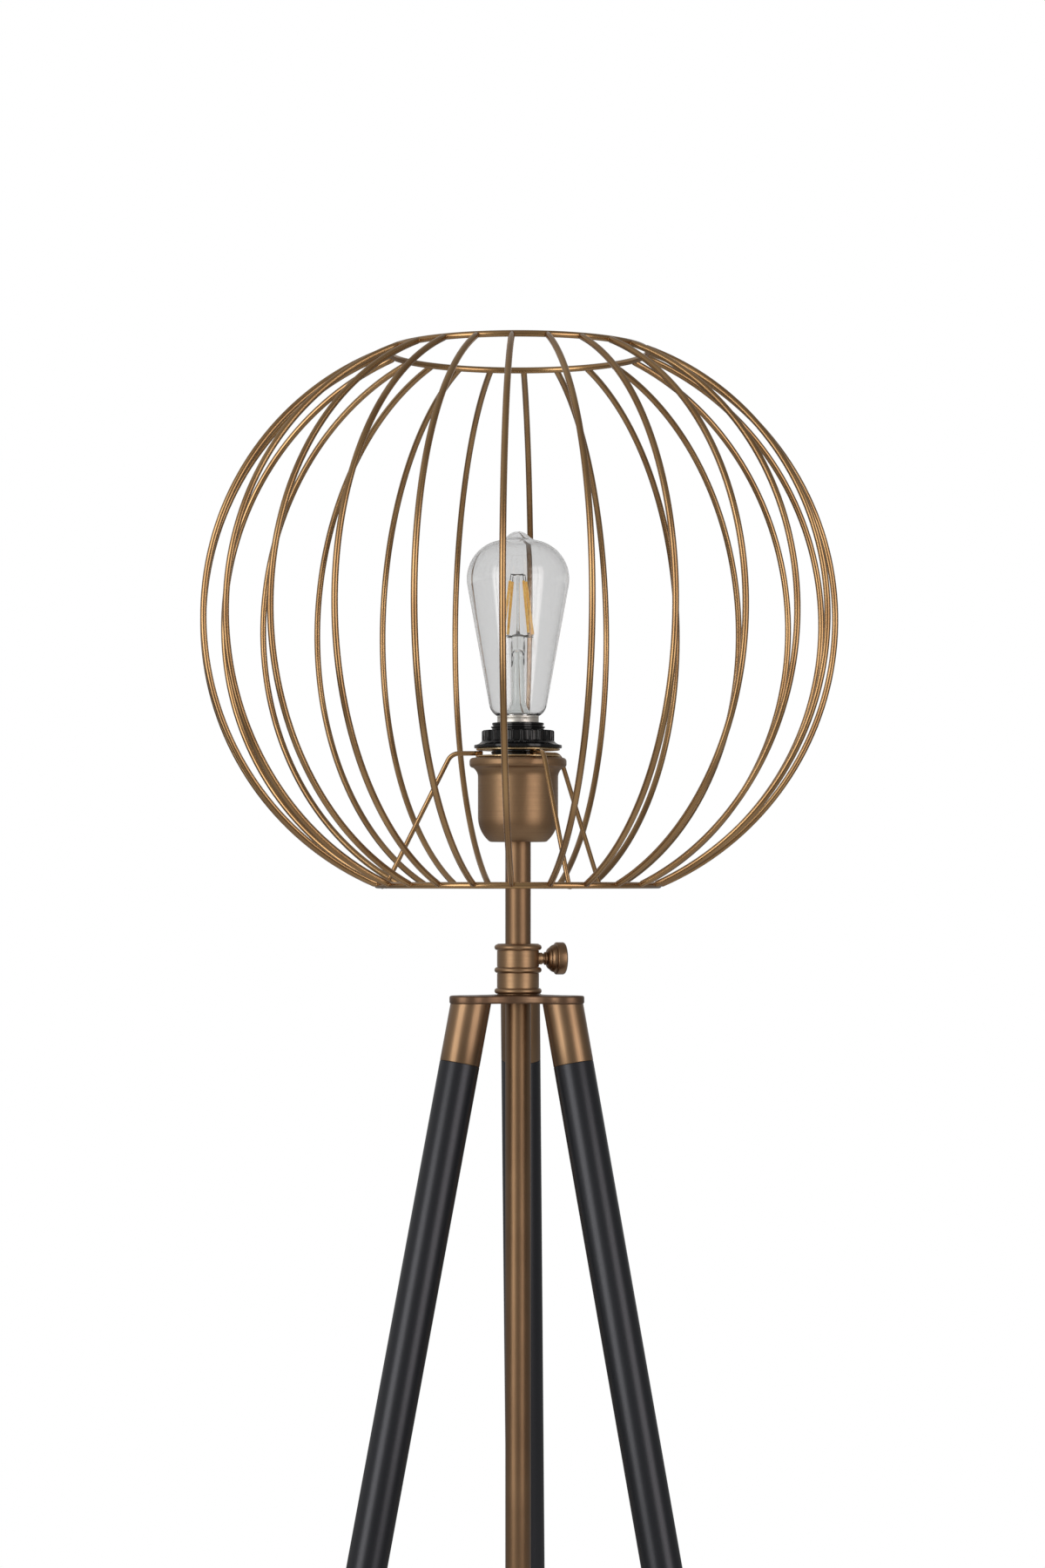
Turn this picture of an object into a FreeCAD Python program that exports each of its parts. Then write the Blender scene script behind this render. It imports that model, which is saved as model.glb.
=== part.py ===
import FreeCAD, Part
import math
import os
import re
import Sketcher
from FreeCAD import Vector

# Floor lamp: a globe of wires around a clear bulb, on a pole that slides in the collar of a three legged stand.
# The origin is on the floor, at the centre of the lamp's footprint box. One leg points to +Y. The thumb
# screw points 16 degrees from +X, towards +Y. The pole's axis is parallel to Z, and stands at y = AXIS_Y.

doc = FreeCAD.newDocument("CageLamp")

# Driving dimensions, in millimetres and degrees

sizes = [
    ("hub_height", 1120.0, "floor to the top of the hub plate"),
    ("hub_thickness", 5.0, "hub plate"),
    ("hub_leg_radius", 33.1, "pole axis to a leg's axis, at the plate's underside"),
    ("hub_lobe_margin", 0.8, "plate edge beyond the leg, round each lobe"),
    ("hub_blend", 30.0, "hollow curve between two lobes"),
    ("hub_edge_round", 1.2, "rounded edge of the plate"),
    ("bore_gap", 0.3, "round the pole in the plate and the collar"),
    ("part_gap", 0.3, "between parts that move past each other"),
    ("running_gap", 0.05, "radial play of a running fit"),
    ("thread_gap", 0.1, "radial play of a screw in its hole"),
    ("hole_tip", 1.0, "depth of a blind hole beyond its screw"),

    ("leg_tilt", 11.7, "leg from the vertical"),
    ("leg_radius", 12.5, "leg tube and ferrule, outside"),
    ("leg_wall", 1.5, "leg tube"),
    ("ferrule_length", 38.0, "plate to the seam, along the leg"),
    ("ferrule_spigot", 20.0, "part of the ferrule inside the tube"),
    ("ferrule_head", 24.0, "solid top of the ferrule"),
    ("ferrule_bore", 8.0, "radius of its hollow below"),
    ("foot_wall", 1.4, "rubber round the tube"),
    ("foot_sleeve", 26.0, "length of tube inside the foot"),
    ("foot_sole", 6.0, "rubber under the tube, on the leg's axis"),
    ("foot_chamfer", 1.0, "top edge of the foot"),

    ("leg_bolt_radius", 3.0, "M6 countersunk bolt, plate to ferrule"),
    ("leg_bolt_head", 6.0, "radius of its head"),
    ("leg_bolt_length", 22.0, "whole bolt"),
    ("leg_bolt_socket", 2.0, "radius of the recess in its head"),
    ("leg_bolt_socket_depth", 1.8, "that recess"),
    ("collar_screw_radius", 1.25, "M2.5 countersunk screw, plate to collar"),
    ("collar_screw_head", 2.2, "radius of its head"),
    ("collar_screw_length", 10.0, "whole screw"),
    ("collar_screw_circle", 10.7, "pole axis to a collar screw"),
    ("collar_screw_socket", 0.75, "radius of the recess in its head"),
    ("collar_screw_socket_depth", 0.7, "that recess"),

    ("collar_height", 32.0, "collar above the plate"),
    ("collar_radius", 13.15, "collar between its beads"),
    ("bead_out", 1.65, "how far a bead stands out"),
    ("bead_height", 3.6, "height of a bead"),
    ("low_bead", 0.7, "collar's foot to the low bead"),
    ("middle_bead", 13.8, "collar's foot to the middle bead"),
    ("top_bead_drop", 4.0, "collar's top to the underside of the top bead"),
    ("collar_chamfer", 0.3, "top edge of the collar"),
    ("clamp_height", 22.7, "thumb screw's axis above the plate"),
    ("boss_radius", 3.75, "boss that the thumb screw goes through"),
    ("clamp_azimuth", 16.0, "thumb screw turned away from +X, towards the back"),
    ("boss_reach", 15.5, "pole axis to the face of the boss"),
    ("bush_seat", 7.0, "collar's foot to the groove for the bush"),
    ("bush_groove", 9.6, "height of that groove"),
    ("bush_wall", 1.25, "nylon bush"),
    ("bush_slot", 1.5, "slot that lets the bush snap in"),

    ("screw_radius", 2.5, "shank of the thumb screw"),
    ("screw_chamfer", 0.5, "tip of its shank"),
    ("pad_radius", 2.3, "brass pad at the screw's tip"),
    ("pad_length", 2.0, "brass pad"),
    ("knob_gap", 0.1, "boss to the knob, when clamped"),
    ("knob_neck_radius", 3.1, "neck next to the boss"),
    ("knob_neck", 1.15, "length of that neck"),
    ("knob_flange_radius", 4.15, "flange behind the neck"),
    ("knob_flange", 1.75, "thickness of that flange"),
    ("knob_step_start", 4.6, "radius where the first step starts"),
    ("knob_step_radius", 7.0, "first step"),
    ("knob_step", 2.0, "length of the first step"),
    ("knob_step_curve", 3.0, "rounding of the first step"),
    ("knob_swell_start", 7.4, "radius where the second step starts"),
    ("knob_swell_radius", 8.8, "second step"),
    ("knob_swell", 3.2, "length of the second step"),
    ("knob_swell_curve", 4.2, "rounding of the second step"),
    ("knob_rim_start", 9.3, "radius where the rim starts"),
    ("knob_radius", 10.15, "knob at its rim"),
    ("knob_rim", 4.9, "length of the rim"),
    ("knob_rim_rise", 0.9, "length of the rounding at its back"),
    ("knob_rim_curve", 0.9, "that rounding"),
    ("knob_shoulder", 1.5, "length of the front rounding"),
    ("knob_shoulder_curve", 1.5, "front rounding"),
    ("knob_face_radius", 8.7, "radius of the shallow dome"),
    ("knob_face", 0.4, "height of the shallow dome"),

    ("pole_radius", 8.0, "pole, outside"),
    ("pole_wall", 1.5, "pole"),
    ("pole_length", 520.0, "whole pole"),
    ("head_clearance", 63.7, "collar's top to the underside of the cup"),
    ("outlet_radius", 4.0, "cable hole at the pole's lower end"),
    ("outlet_flange", 2.0, "thickness of the outlet bush's flange"),
    ("outlet_spigot", 12.0, "outlet bush inside the pole"),
    ("insert_length", 15.0, "threaded insert in the pole's top"),
    ("nipple_radius", 5.0, "threaded tube between pole and socket"),
    ("nipple_bore", 3.5, "its hole for the wires"),
    ("nipple_grip", 14.0, "length of it inside the pole"),
    ("nipple_socket_grip", 10.0, "length of it inside the socket"),
    ("lock_nut_width", 14.0, "lock nut across its flats"),
    ("lock_nut_thickness", 3.5, "lock nut"),

    ("cup_height", 52.6, "whole cup"),
    ("cup_wall", 1.2, "spun sheet of the cup"),
    ("cup_radius", 25.1, "straight wall of the cup"),
    ("cup_foot_curve", 3.0, "rounding of the foot"),
    ("cup_bowl_curve", 20.0, "curve of the bowl"),
    ("cup_bowl_height", 15.6, "foot to the start of the straight wall"),
    ("cup_flare_curve", 7.0, "hollow curve under the rim"),
    ("cup_rim_overhang", 5.3, "rolled rim, beyond the wall"),
    ("cup_rim_height", 6.2, "rolled rim"),
    ("cup_rim_curve", 2.2, "rounded edges of the rim"),
    ("cup_lip_radius", 22.0, "opening inside the flat lip"),

    ("socket_height", 60.0, "whole socket"),
    ("socket_rise", 21.9, "socket's top above the cup"),
    ("socket_radius", 16.5, "socket below its thread"),
    ("socket_thread_radius", 17.0, "socket at its thread"),
    ("socket_thread", 22.0, "length of the thread"),
    ("socket_chamfer", 0.7, "top edge of the socket"),
    ("socket_base_radius", 12.0, "foot of the socket"),
    ("socket_base_taper", 6.0, "height of the taper at the foot"),
    ("socket_bore_depth", 28.2, "hole for the bulb's cap"),
    ("shell_gap", 0.5, "round the bulb's cap in the screw shell"),
    ("shell_wall", 0.5, "brass screw shell"),
    ("shell_height", 26.0, "brass screw shell"),
    ("shell_drop", 0.7, "socket's top to the shell"),
    ("shell_flange", 3.0, "width of the shell's inner flange"),
    ("contact_width", 6.0, "brass tongue under the bulb"),
    ("contact_sheet", 0.6, "its sheet"),
    ("contact_foot", 5.5, "length of its flat foot"),
    ("contact_reach", 6.0, "pole axis to either end of it"),
    ("contact_flat", 3.5, "length of its sprung end"),
    ("wire_hole", 3.0, "radius of the hole between nipple and bore"),
    ("terminal_radius", 1.75, "terminal screw"),
    ("terminal_head_radius", 3.2, "its head"),
    ("terminal_head", 2.2, "thickness of its head"),
    ("terminal_length", 4.0, "its shank inside the socket"),
    ("terminal_height", 20.0, "socket's foot to the terminal screws"),

    ("fitter_radius", 26.5, "ring that carries the cage's arms"),
    ("fitter_thickness", 1.2, "ring and washer"),
    ("fitter_gap", 0.3, "round the socket in ring, washer and nut"),
    ("washer_radius", 27.0, "brass washer under the ring nut"),
    ("nut_height", 11.2, "ring nut"),
    ("nut_flange_radius", 27.5, "its flange"),
    ("nut_flange", 2.0, "thickness of its flange"),
    ("nut_radius", 22.7, "its ribbed grip"),
    ("nut_flare_height", 4.5, "underside to the start of the grip"),
    ("nut_flare_curve", 6.5, "hollow curve from flange to grip"),
    ("nut_chamfer", 0.5, "top edge of the nut"),
    ("nut_groove_radius", 1.5, "groove between two ribs"),
    ("nut_groove_depth", 0.9, "that groove"),

    ("cage_radius", 200.0, "pole axis to the outside of the wires"),
    ("cage_height", 333.4, "between the middles of the two rings"),
    ("top_ring_radius", 81.4, "middle of the top ring's wire"),
    ("bottom_ring_radius", 88.0, "middle of the bottom ring's wire"),
    ("ring_wire", 4.0, "wire of both rings"),
    ("cage_wire", 4.0, "upright wire"),
    ("arm_wire", 3.0, "wire of the three arms"),
    ("arm_inner", 22.4, "pole axis to an arm's inner end"),
    ("arm_corner", 42.3, "pole axis to the corner of an arm"),
    ("arm_bend", 8.0, "bend at that corner"),
    ("arm_drop", 82.7, "arm's level above the middle of the bottom ring"),
    ("arm_azimuth", 54.0, "first arm, from +X"),

    ("bulb_wall", 0.9, "glass"),
    ("bulb_seat", 5.0, "glass inside the cap"),
    ("bulb_seat_gap", 0.1, "glass above the cap's edge"),
    ("bulb_neck_radius", 13.6, "glass at the cap"),
    ("bulb_shoulder_radius", 18.0, "glass at the shoulder"),
    ("bulb_shoulder_height", 6.5, "cap to the shoulder"),
    ("bulb_shoulder_curve", 9.7, "curve of the shoulder"),
    ("bulb_cone_angle", 10.35, "cone of the glass, from the vertical"),
    ("bulb_head_curve", 24.4, "curve of the head"),
    ("bulb_head_radius", 7.67, "bulb's axis to the middle of that curve"),
    ("bulb_tip_start", 8.6, "radius at the foot of the tip"),
    ("bulb_tip_radius", 3.6, "glass at the rounding of the tip"),
    ("bulb_tip_foot", 3.9, "height of the tip's hollow curve"),
    ("bulb_tip_flare", 9.0, "hollow curve of the tip"),
    ("bulb_tip_round", 1.4, "height of the tip's rounding"),
    ("cap_radius", 13.0, "bulb cap"),
    ("cap_wall", 0.4, "sheet of the cap"),
    ("cap_height", 26.5, "whole cap"),
    ("cap_taper", 3.0, "height of the taper at the cap's foot"),
    ("cap_foot_radius", 10.5, "foot of the cap"),
    ("cap_floor", 1.5, "insulator in the cap's foot"),
    ("cap_rise", 4.3, "cap's top above the socket's top"),
    ("tip_contact_radius", 4.5, "solder contact under the cap"),
    ("tip_contact_end", 3.0, "radius of its lower end"),
    ("tip_contact", 1.6, "height of that contact"),
    ("stem_foot_radius", 10.0, "flare of the glass stem"),
    ("stem_flare_height", 12.0, "height of the flare"),
    ("stem_flare_curve", 14.0, "hollow curve of the flare"),
    ("stem_radius", 4.5, "glass stem"),
    ("stem_height", 51.0, "cap to the pinched end of the stem"),
    ("stem_pinch", 2.5, "height of the taper to the rod"),
    ("stem_rod_radius", 1.4, "glass rod above the pinch"),
    ("filament_radius", 0.9, "filament stick"),
    ("filament_low", 50.5, "cap to the filaments' low ends"),
    ("filament_high", 87.8, "cap to the filaments' high ends"),
    ("filament_low_radius", 11.5, "bulb's axis to a low end"),
    ("filament_high_radius", 5.5, "bulb's axis to a high end"),
    ("filament_azimuth", 37.5, "first filament, from +X"),
    ("lead_wire", 0.35, "radius of the wires that hold the filaments"),
]

sheet = doc.addObject("Spreadsheet::Sheet", "Sizes")
for row, (alias, size, note) in enumerate(sizes, start=1):
    sheet.set("A%d" % row, note)
    sheet.set("B%d" % row, str(size))
    sheet.setAlias("B%d" % row, alias)
doc.recompute()
aliases = {alias for alias, size, note in sizes}

LEGS = 3
ARMS = 3
CAGE_WIRES = 24
NUT_RIBS = 22
FILAMENTS = 4
TERMINALS = 2
FIRST_LEG = 90.0
TURN = 360.0


# Formulas name the cells of the sheet

def cells(formula):
    """The formula with each name of a size written as its cell."""
    return re.sub(r"[a-z_]+", lambda word: "Sizes." + word.group() if word.group() in aliases else word.group(),
                  str(formula))


def number(formula):
    """What a formula comes to now."""
    found = sheet.evalExpression(cells(formula))
    return float(getattr(found, "Value", found))


def bind(thing, **formulas):
    for name, formula in formulas.items():
        thing.setExpression(name, cells(formula))
    return thing


def place(thing, z, x="0", y=None, yaw="0", pitch="0", roll="0"):
    """Places a part from the pole's axis, at a height above the floor."""
    y = AXIS_Y if y is None else "%s + %s" % (AXIS_Y, y)
    formula = "placement(vector(%s; %s; %s); rotation(%s; %s; %s))" % (x, y, z, yaw, pitch, roll)
    thing.setExpression("Placement", cells(formula))
    return thing


# Places worked out from the sizes

FOOT_CIRCLE = "(hub_leg_radius + (hub_height - hub_thickness) * tan(leg_tilt))"
FOOT_RADIUS = "(leg_radius + foot_wall)"
AXIS_Y = "((cage_radius - %s - %s / cos(leg_tilt)) / 2)" % (FOOT_CIRCLE, FOOT_RADIUS)
PLATE_UNDERSIDE = "(hub_height - hub_thickness)"
LEG_LENGTH = "((hub_height - hub_thickness) / cos(leg_tilt))"
TUBE_BORE = "(leg_radius - leg_wall)"
POLE_BORE = "(pole_radius - pole_wall)"
CLAMP_LEVEL = "(hub_height + clamp_height)"
CUP_FOOT = "(hub_height + collar_height + head_clearance)"
CUP_TOP = "(%s + cup_height)" % CUP_FOOT
CUP_RIM = "(cup_radius + cup_rim_overhang)"
SOCKET_TOP = "(%s + socket_rise)" % CUP_TOP
SOCKET_FOOT = "(%s - socket_height)" % SOCKET_TOP
FITTER_LEVEL = "(%s + part_gap)" % CUP_TOP
ARM_LEVEL = "(%s + fitter_thickness + arm_wire / 2)" % FITTER_LEVEL
WASHER_LEVEL = "(%s + arm_wire / 2 + part_gap / 2)" % ARM_LEVEL
NUT_LEVEL = "(%s + fitter_thickness + part_gap / 2)" % WASHER_LEVEL
NUT_BORE = "(socket_thread_radius + fitter_gap)"
SHELL_BORE = "(cap_radius + shell_gap)"
SHELL_RADIUS = "(%s + shell_wall)" % SHELL_BORE
BOTTOM_RING_LEVEL = "(%s - arm_drop)" % ARM_LEVEL
TOP_RING_LEVEL = "(%s + cage_height)" % BOTTOM_RING_LEVEL
GLASS_LEVEL = "(%s + cap_rise)" % SOCKET_TOP
CAP_FOOT = "(%s - cap_height)" % GLASS_LEVEL

# Each upright wire is one arc, from the middle of one ring to the middle of the other, and as wide between
# them as the cage. Its diameter is a root of a quadratic in how far each ring lies inside the wire's widest
# place, and in the cage's height.
WIRE_REACH = "(cage_radius - cage_wire / 2)"
LOW_SAG = "(%s - bottom_ring_radius)" % WIRE_REACH
HIGH_SAG = "(%s - top_ring_radius)" % WIRE_REACH
SAG_STEP = "(bottom_ring_radius - top_ring_radius)"
ARC_PART = "(cage_height ^ 2 - %s * (%s + %s))" % (SAG_STEP, LOW_SAG, HIGH_SAG)
ARC_MIDDLE = "(2 * cage_height ^ 2 * %s - %s * %s)" % (HIGH_SAG, SAG_STEP, ARC_PART)
ARC_END = "(%s ^ 2 + 4 * cage_height ^ 2 * %s ^ 2)" % (ARC_PART, HIGH_SAG)
WIRE_BEND = "(%s / (%s + sqrt(%s ^ 2 - %s ^ 2 * %s)) / 2)" % (ARC_END, ARC_MIDDLE, ARC_MIDDLE, SAG_STEP, ARC_END)
WIRE_CENTRE = "(%s - %s)" % (WIRE_REACH, WIRE_BEND)
WAIST_HEIGHT = "sqrt(%s * (2 * %s - %s))" % (LOW_SAG, WIRE_BEND, LOW_SAG)


# Ways of making parts

def new_body(label):
    body = doc.addObject("PartDesign::Body", label)
    body.Label = label
    return body


def origin_plane(body, role):
    return next(item for item in body.Origin.OriginFeatures if item.Role == role)


def new_sketch(body, name, role="XZ_Plane"):
    sketch = body.newObject("Sketcher::SketchObject", body.Name + "_" + name)
    sketch.AttachmentSupport = [(origin_plane(body, role), "")]
    sketch.MapMode = "FlatFace"
    return sketch


def fix_point(sketch, edge, end, x, y, name):
    """Ties one end of an edge to its two formulas."""
    for kind, formula, letter in (("DistanceX", x, "x"), ("DistanceY", y, "y")):
        index = sketch.addConstraint(Sketcher.Constraint(kind, edge, end, number(formula)))
        sketch.renameConstraint(index, letter + name)
        sketch.setExpression("Constraints." + letter + name, cells(formula))


def size_constraint(sketch, kind, edge, formula, name):
    index = sketch.addConstraint(Sketcher.Constraint(kind, edge, number(formula)))
    sketch.renameConstraint(index, name)
    sketch.setExpression("Constraints." + name, cells(formula))


def arc_between(start, end, radius, left):
    """The shorter arc from start to end, with its centre to the left of the line between them, or to the right."""
    middle = (start + end) * 0.5
    along = end - start
    away = math.sqrt(max(radius ** 2 - along.Length ** 2 / 4, 0.0))
    side = Vector(-along.y, along.x, 0).normalize() * (1 if left else -1)
    centre = middle + side * away
    crown = centre - side * radius
    return Part.Arc(start, crown, end)


def draw_outline(sketch, points):
    """Draws a closed outline. A point is (x, y) or, where an arc leaves it, (x, y, radius, side of its centre)."""
    places = [Vector(number(point[0]), number(point[1]), 0) for point in points]
    edges = []
    for index, point in enumerate(points):
        start = places[index]
        end = places[(index + 1) % len(points)]
        if len(point) == 2:
            edges.append(sketch.addGeometry(Part.LineSegment(start, end)))
        else:
            arc = arc_between(start, end, number(point[2]), point[3] == "left")
            edges.append(sketch.addGeometry(arc))
    # An arc is kept counter-clockwise, so its ends may be swapped
    ends = []
    for index, edge in enumerate(edges):
        near = sketch.getPoint(edge, 1).distanceToPoint(places[index])
        far = sketch.getPoint(edge, 2).distanceToPoint(places[index])
        ends.append((1, 2) if near <= far else (2, 1))
    for index, edge in enumerate(edges):
        following = (index + 1) % len(edges)
        sketch.addConstraint(Sketcher.Constraint("Coincident", edge, ends[index][1], edges[following],
                                                 ends[following][0]))
    for index, point in enumerate(points):
        fix_point(sketch, edges[index], ends[index][0], point[0], point[1], str(index))
        if len(point) > 2:
            size_constraint(sketch, "Radius", edges[index], point[2], "radius" + str(index))
    return edges


def revolve(body, sketch, axis="V_Axis", kind="PartDesign::Revolution", name="Turned"):
    feature = body.newObject(kind, body.Name + "_" + name)
    feature.Profile = sketch
    feature.ReferenceAxis = (sketch, [axis])
    feature.Angle = TURN
    body.Tip = feature
    return feature


def turned(label, points, axis="V_Axis"):
    """A part turned from one outline of radii and heights."""
    body = new_body(label)
    sketch = new_sketch(body, "Outline")
    draw_outline(sketch, points)
    revolve(body, sketch, axis)
    return body


def cut_away(body, sketch, name, length=None, both_ways=False, backwards=False):
    """A pocket from a sketch, through everything where no length is given. It has to take material away."""
    doc.recompute()
    before = body.Shape.Volume
    pocket = body.newObject("PartDesign::Pocket", body.Name + "_" + name)
    pocket.Profile = sketch
    pocket.Reversed = backwards
    if length is None:
        pocket.Type = 1
    else:
        bind(pocket, Length=length)
    pocket.Midplane = both_ways
    body.Tip = pocket
    doc.recompute()
    if not body.Shape.Volume < before:
        raise RuntimeError(pocket.Name + " takes nothing away")
    return pocket


def cut_round(body, sketch, name, axis="V_Axis"):
    """A groove turned about an axis of its sketch. It has to take material away."""
    doc.recompute()
    before = body.Shape.Volume
    groove = revolve(body, sketch, axis, "PartDesign::Groove", name)
    doc.recompute()
    if not body.Shape.Volume < before:
        raise RuntimeError(groove.Name + " takes nothing away")
    return groove


def draw_circle(sketch, radius, x="0", y="0", name=""):
    circle = sketch.addGeometry(Part.Circle(Vector(number(x), number(y), 0), Vector(0, 0, 1), number(radius)))
    fix_point(sketch, circle, 3, x, y, "centre" + name)
    size_constraint(sketch, "Radius", circle, radius, "radius" + name)
    return circle


def turn_axis(sketch, start, end):
    """A construction line to turn a profile about, away from the part's own axis."""
    places = [Vector(number(x), number(y), 0) for x, y in (start, end)]
    line = sketch.addGeometry(Part.LineSegment(places[0], places[1]), True)
    fix_point(sketch, line, 1, start[0], start[1], "axisstart")
    fix_point(sketch, line, 2, end[0], end[1], "axisend")
    return "Axis0"


def swing(sketch, azimuth):
    """Turns a sketch about the part's upright axis. It lies towards +X before that."""
    sketch.AttachmentOffset = FreeCAD.Placement(Vector(), FreeCAD.Rotation(Vector(0, 1, 0), azimuth))


def round_pattern(body, features, count, name="Round"):
    """Repeats features round the part's upright axis."""
    pattern = body.newObject("PartDesign::PolarPattern", body.Name + "_" + name)
    pattern.Originals = features
    pattern.Axis = (origin_plane(body, "Z_Axis"), [""])
    pattern.Angle = TURN
    pattern.Occurrences = count
    body.Tip = pattern
    return pattern


def primitive(kind, label, **formulas):
    thing = doc.addObject(kind, label)
    thing.Label = label
    return bind(thing, **formulas)


def cut(label, base, tool):
    thing = doc.addObject("Part::Cut", label)
    thing.Base = base
    thing.Tool = tool
    thing.Label = label
    return thing


def countersunk(circle, radius, head, length, head_level, tip_level):
    """Half of a countersunk screw or of its hole, beside an axis that stands off the pole's."""
    side = "(%s - %s)" % (head, radius)
    neck_level = "(%s + %s * (%s - %s) / %s)" % (head_level, side, tip_level, head_level, length)
    return [
        (circle, head_level),
        ("%s + %s" % (circle, head), head_level),
        ("%s + %s" % (circle, radius), neck_level),
        ("%s + %s" % (circle, radius), tip_level),
        (circle, tip_level),
    ]


def back_along(points):
    """The same path, walked the other way."""
    path = []
    for index in range(len(points) - 1, -1, -1):
        arc = points[index - 1][2:] if index else ()
        if arc:
            arc = (arc[0], "right" if arc[1] == "left" else "left")
        path.append(tuple(points[index][:2]) + tuple(arc))
    return path


def leg_place(outward, up):
    """A place in a leg's own sketch, from the plate's underside: level and upright, as the lamp stands."""
    across = "((%s) * cos(leg_tilt) + (%s) * sin(leg_tilt))" % (outward, up)
    along = "((%s) * cos(leg_tilt) - (%s) * sin(leg_tilt))" % (up, outward)
    return across, along


def level_cut(body, middle, level, depth):
    """Takes away a block from a level plane on, as the lamp stands: above it, or below for a negative depth."""
    sketch = new_sketch(body, "LevelCut")
    left = "(%s) - 2 * %s" % (middle, FOOT_RADIUS)
    right = "(%s) + 2 * %s" % (middle, FOOT_RADIUS)
    far = "(%s) + (%s)" % (level, depth)
    draw_outline(sketch, [leg_place(left, level), leg_place(right, level), leg_place(right, far),
                          leg_place(left, far)])
    cut_away(body, sketch, "LevelPocket", "4 * " + FOOT_RADIUS, both_ways=True)


def place_on_leg(thing, azimuth):
    x = "hub_leg_radius * cos(%g)" % azimuth
    y = "hub_leg_radius * sin(%g)" % azimuth
    return place(thing, PLATE_UNDERSIDE, x, y, str(azimuth), "0 - leg_tilt")


# Hub: the plate is three lobes over the legs, joined by hollow curves. The collar stands on it.

def hub_plate():
    body = new_body("hub_plate")
    sketch = new_sketch(body, "Outline", "XY_Plane")
    lobe_radius = "(leg_radius + hub_lobe_margin)"
    reach = "(%s + hub_blend)" % lobe_radius
    hollow_circle = number("(hub_leg_radius + sqrt(4 * %s ^ 2 - 3 * hub_leg_radius ^ 2)) / 2" % reach)
    share = number(lobe_radius) / number(reach)
    lobes = []
    hollows = []
    for index in range(LEGS):
        azimuth = FIRST_LEG + index * TURN / LEGS
        here = Vector(math.cos(math.radians(azimuth)), math.sin(math.radians(azimuth)), 0)
        turn = FreeCAD.Rotation(Vector(0, 0, 1), TURN / LEGS)
        half_turn = FreeCAD.Rotation(Vector(0, 0, 1), TURN / LEGS / 2)
        lobe = here * number("hub_leg_radius")
        before = half_turn.inverted().multVec(here) * hollow_circle
        after = half_turn.multVec(here) * hollow_circle
        start = lobe + (before - lobe) * share
        end = lobe + (after - lobe) * share
        crown = here * (lobe.Length + number(lobe_radius))
        waist = half_turn.multVec(here) * (hollow_circle - number("hub_blend"))
        lobes.append(sketch.addGeometry(Part.Arc(start, crown, end)))
        hollows.append(sketch.addGeometry(Part.Arc(end, waist, turn.multVec(start))))
        fix_point(sketch, lobes[-1], 3, "hub_leg_radius * cos(%g)" % azimuth,
                  "hub_leg_radius * sin(%g)" % azimuth, "lobe%d" % index)
        size_constraint(sketch, "Radius", lobes[-1], lobe_radius, "loberadius%d" % index)
        size_constraint(sketch, "Radius", hollows[-1], "hub_blend", "hollowradius%d" % index)
    for index in range(LEGS):
        # A hollow arc runs clockwise, and the sketch keeps it from its end to its start
        sketch.addConstraint(Sketcher.Constraint("Tangent", lobes[index], 2, hollows[index], 2))
        sketch.addConstraint(Sketcher.Constraint("Tangent", hollows[index], 1, lobes[(index + 1) % LEGS], 1))
    pad = body.newObject("PartDesign::Pad", "hub_plate_Pad")
    pad.Profile = sketch
    bind(pad, Length="hub_thickness")
    body.Tip = pad
    doc.recompute()
    rounded = body.newObject("PartDesign::Fillet", "hub_plate_Edges")
    flat_edges = [
        "Edge%d" % (index + 1) for index, edge in enumerate(pad.Shape.Edges) if edge.BoundBox.ZLength < 0.001
    ]
    rounded.Base = (pad, flat_edges)
    bind(rounded, Radius="hub_edge_round")
    body.Tip = rounded

    bore = new_sketch(body, "Bore", "XY_Plane")
    draw_circle(bore, "pole_radius + bore_gap")
    cut_away(body, bore, "BorePocket", "2 * hub_thickness", both_ways=True)

    drilling = new_sketch(body, "BoltHole")
    axis = turn_axis(drilling, ("hub_leg_radius", "0"), ("hub_leg_radius", "hub_thickness"))
    draw_outline(drilling, countersunk("hub_leg_radius", "(leg_bolt_radius + thread_gap)",
                                       "(leg_bolt_head + thread_gap)", "hub_thickness", "hub_thickness", "0"))
    swing(drilling, FIRST_LEG)
    hole = cut_round(body, drilling, "BoltGroove", axis)
    round_pattern(body, [hole], LEGS, "BoltHoles")

    drilling = new_sketch(body, "ScrewHole")
    axis = turn_axis(drilling, ("collar_screw_circle", "0"), ("collar_screw_circle", "hub_thickness"))
    draw_outline(drilling, countersunk("collar_screw_circle", "(collar_screw_radius + thread_gap)",
                                       "(collar_screw_head + thread_gap)", "hub_thickness", "0",
                                       "hub_thickness"))
    swing(drilling, FIRST_LEG + TURN / 2)
    hole = cut_round(body, drilling, "ScrewGroove", axis)
    round_pattern(body, [hole], LEGS, "ScrewHoles")
    return place(body, PLATE_UNDERSIDE)


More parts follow.
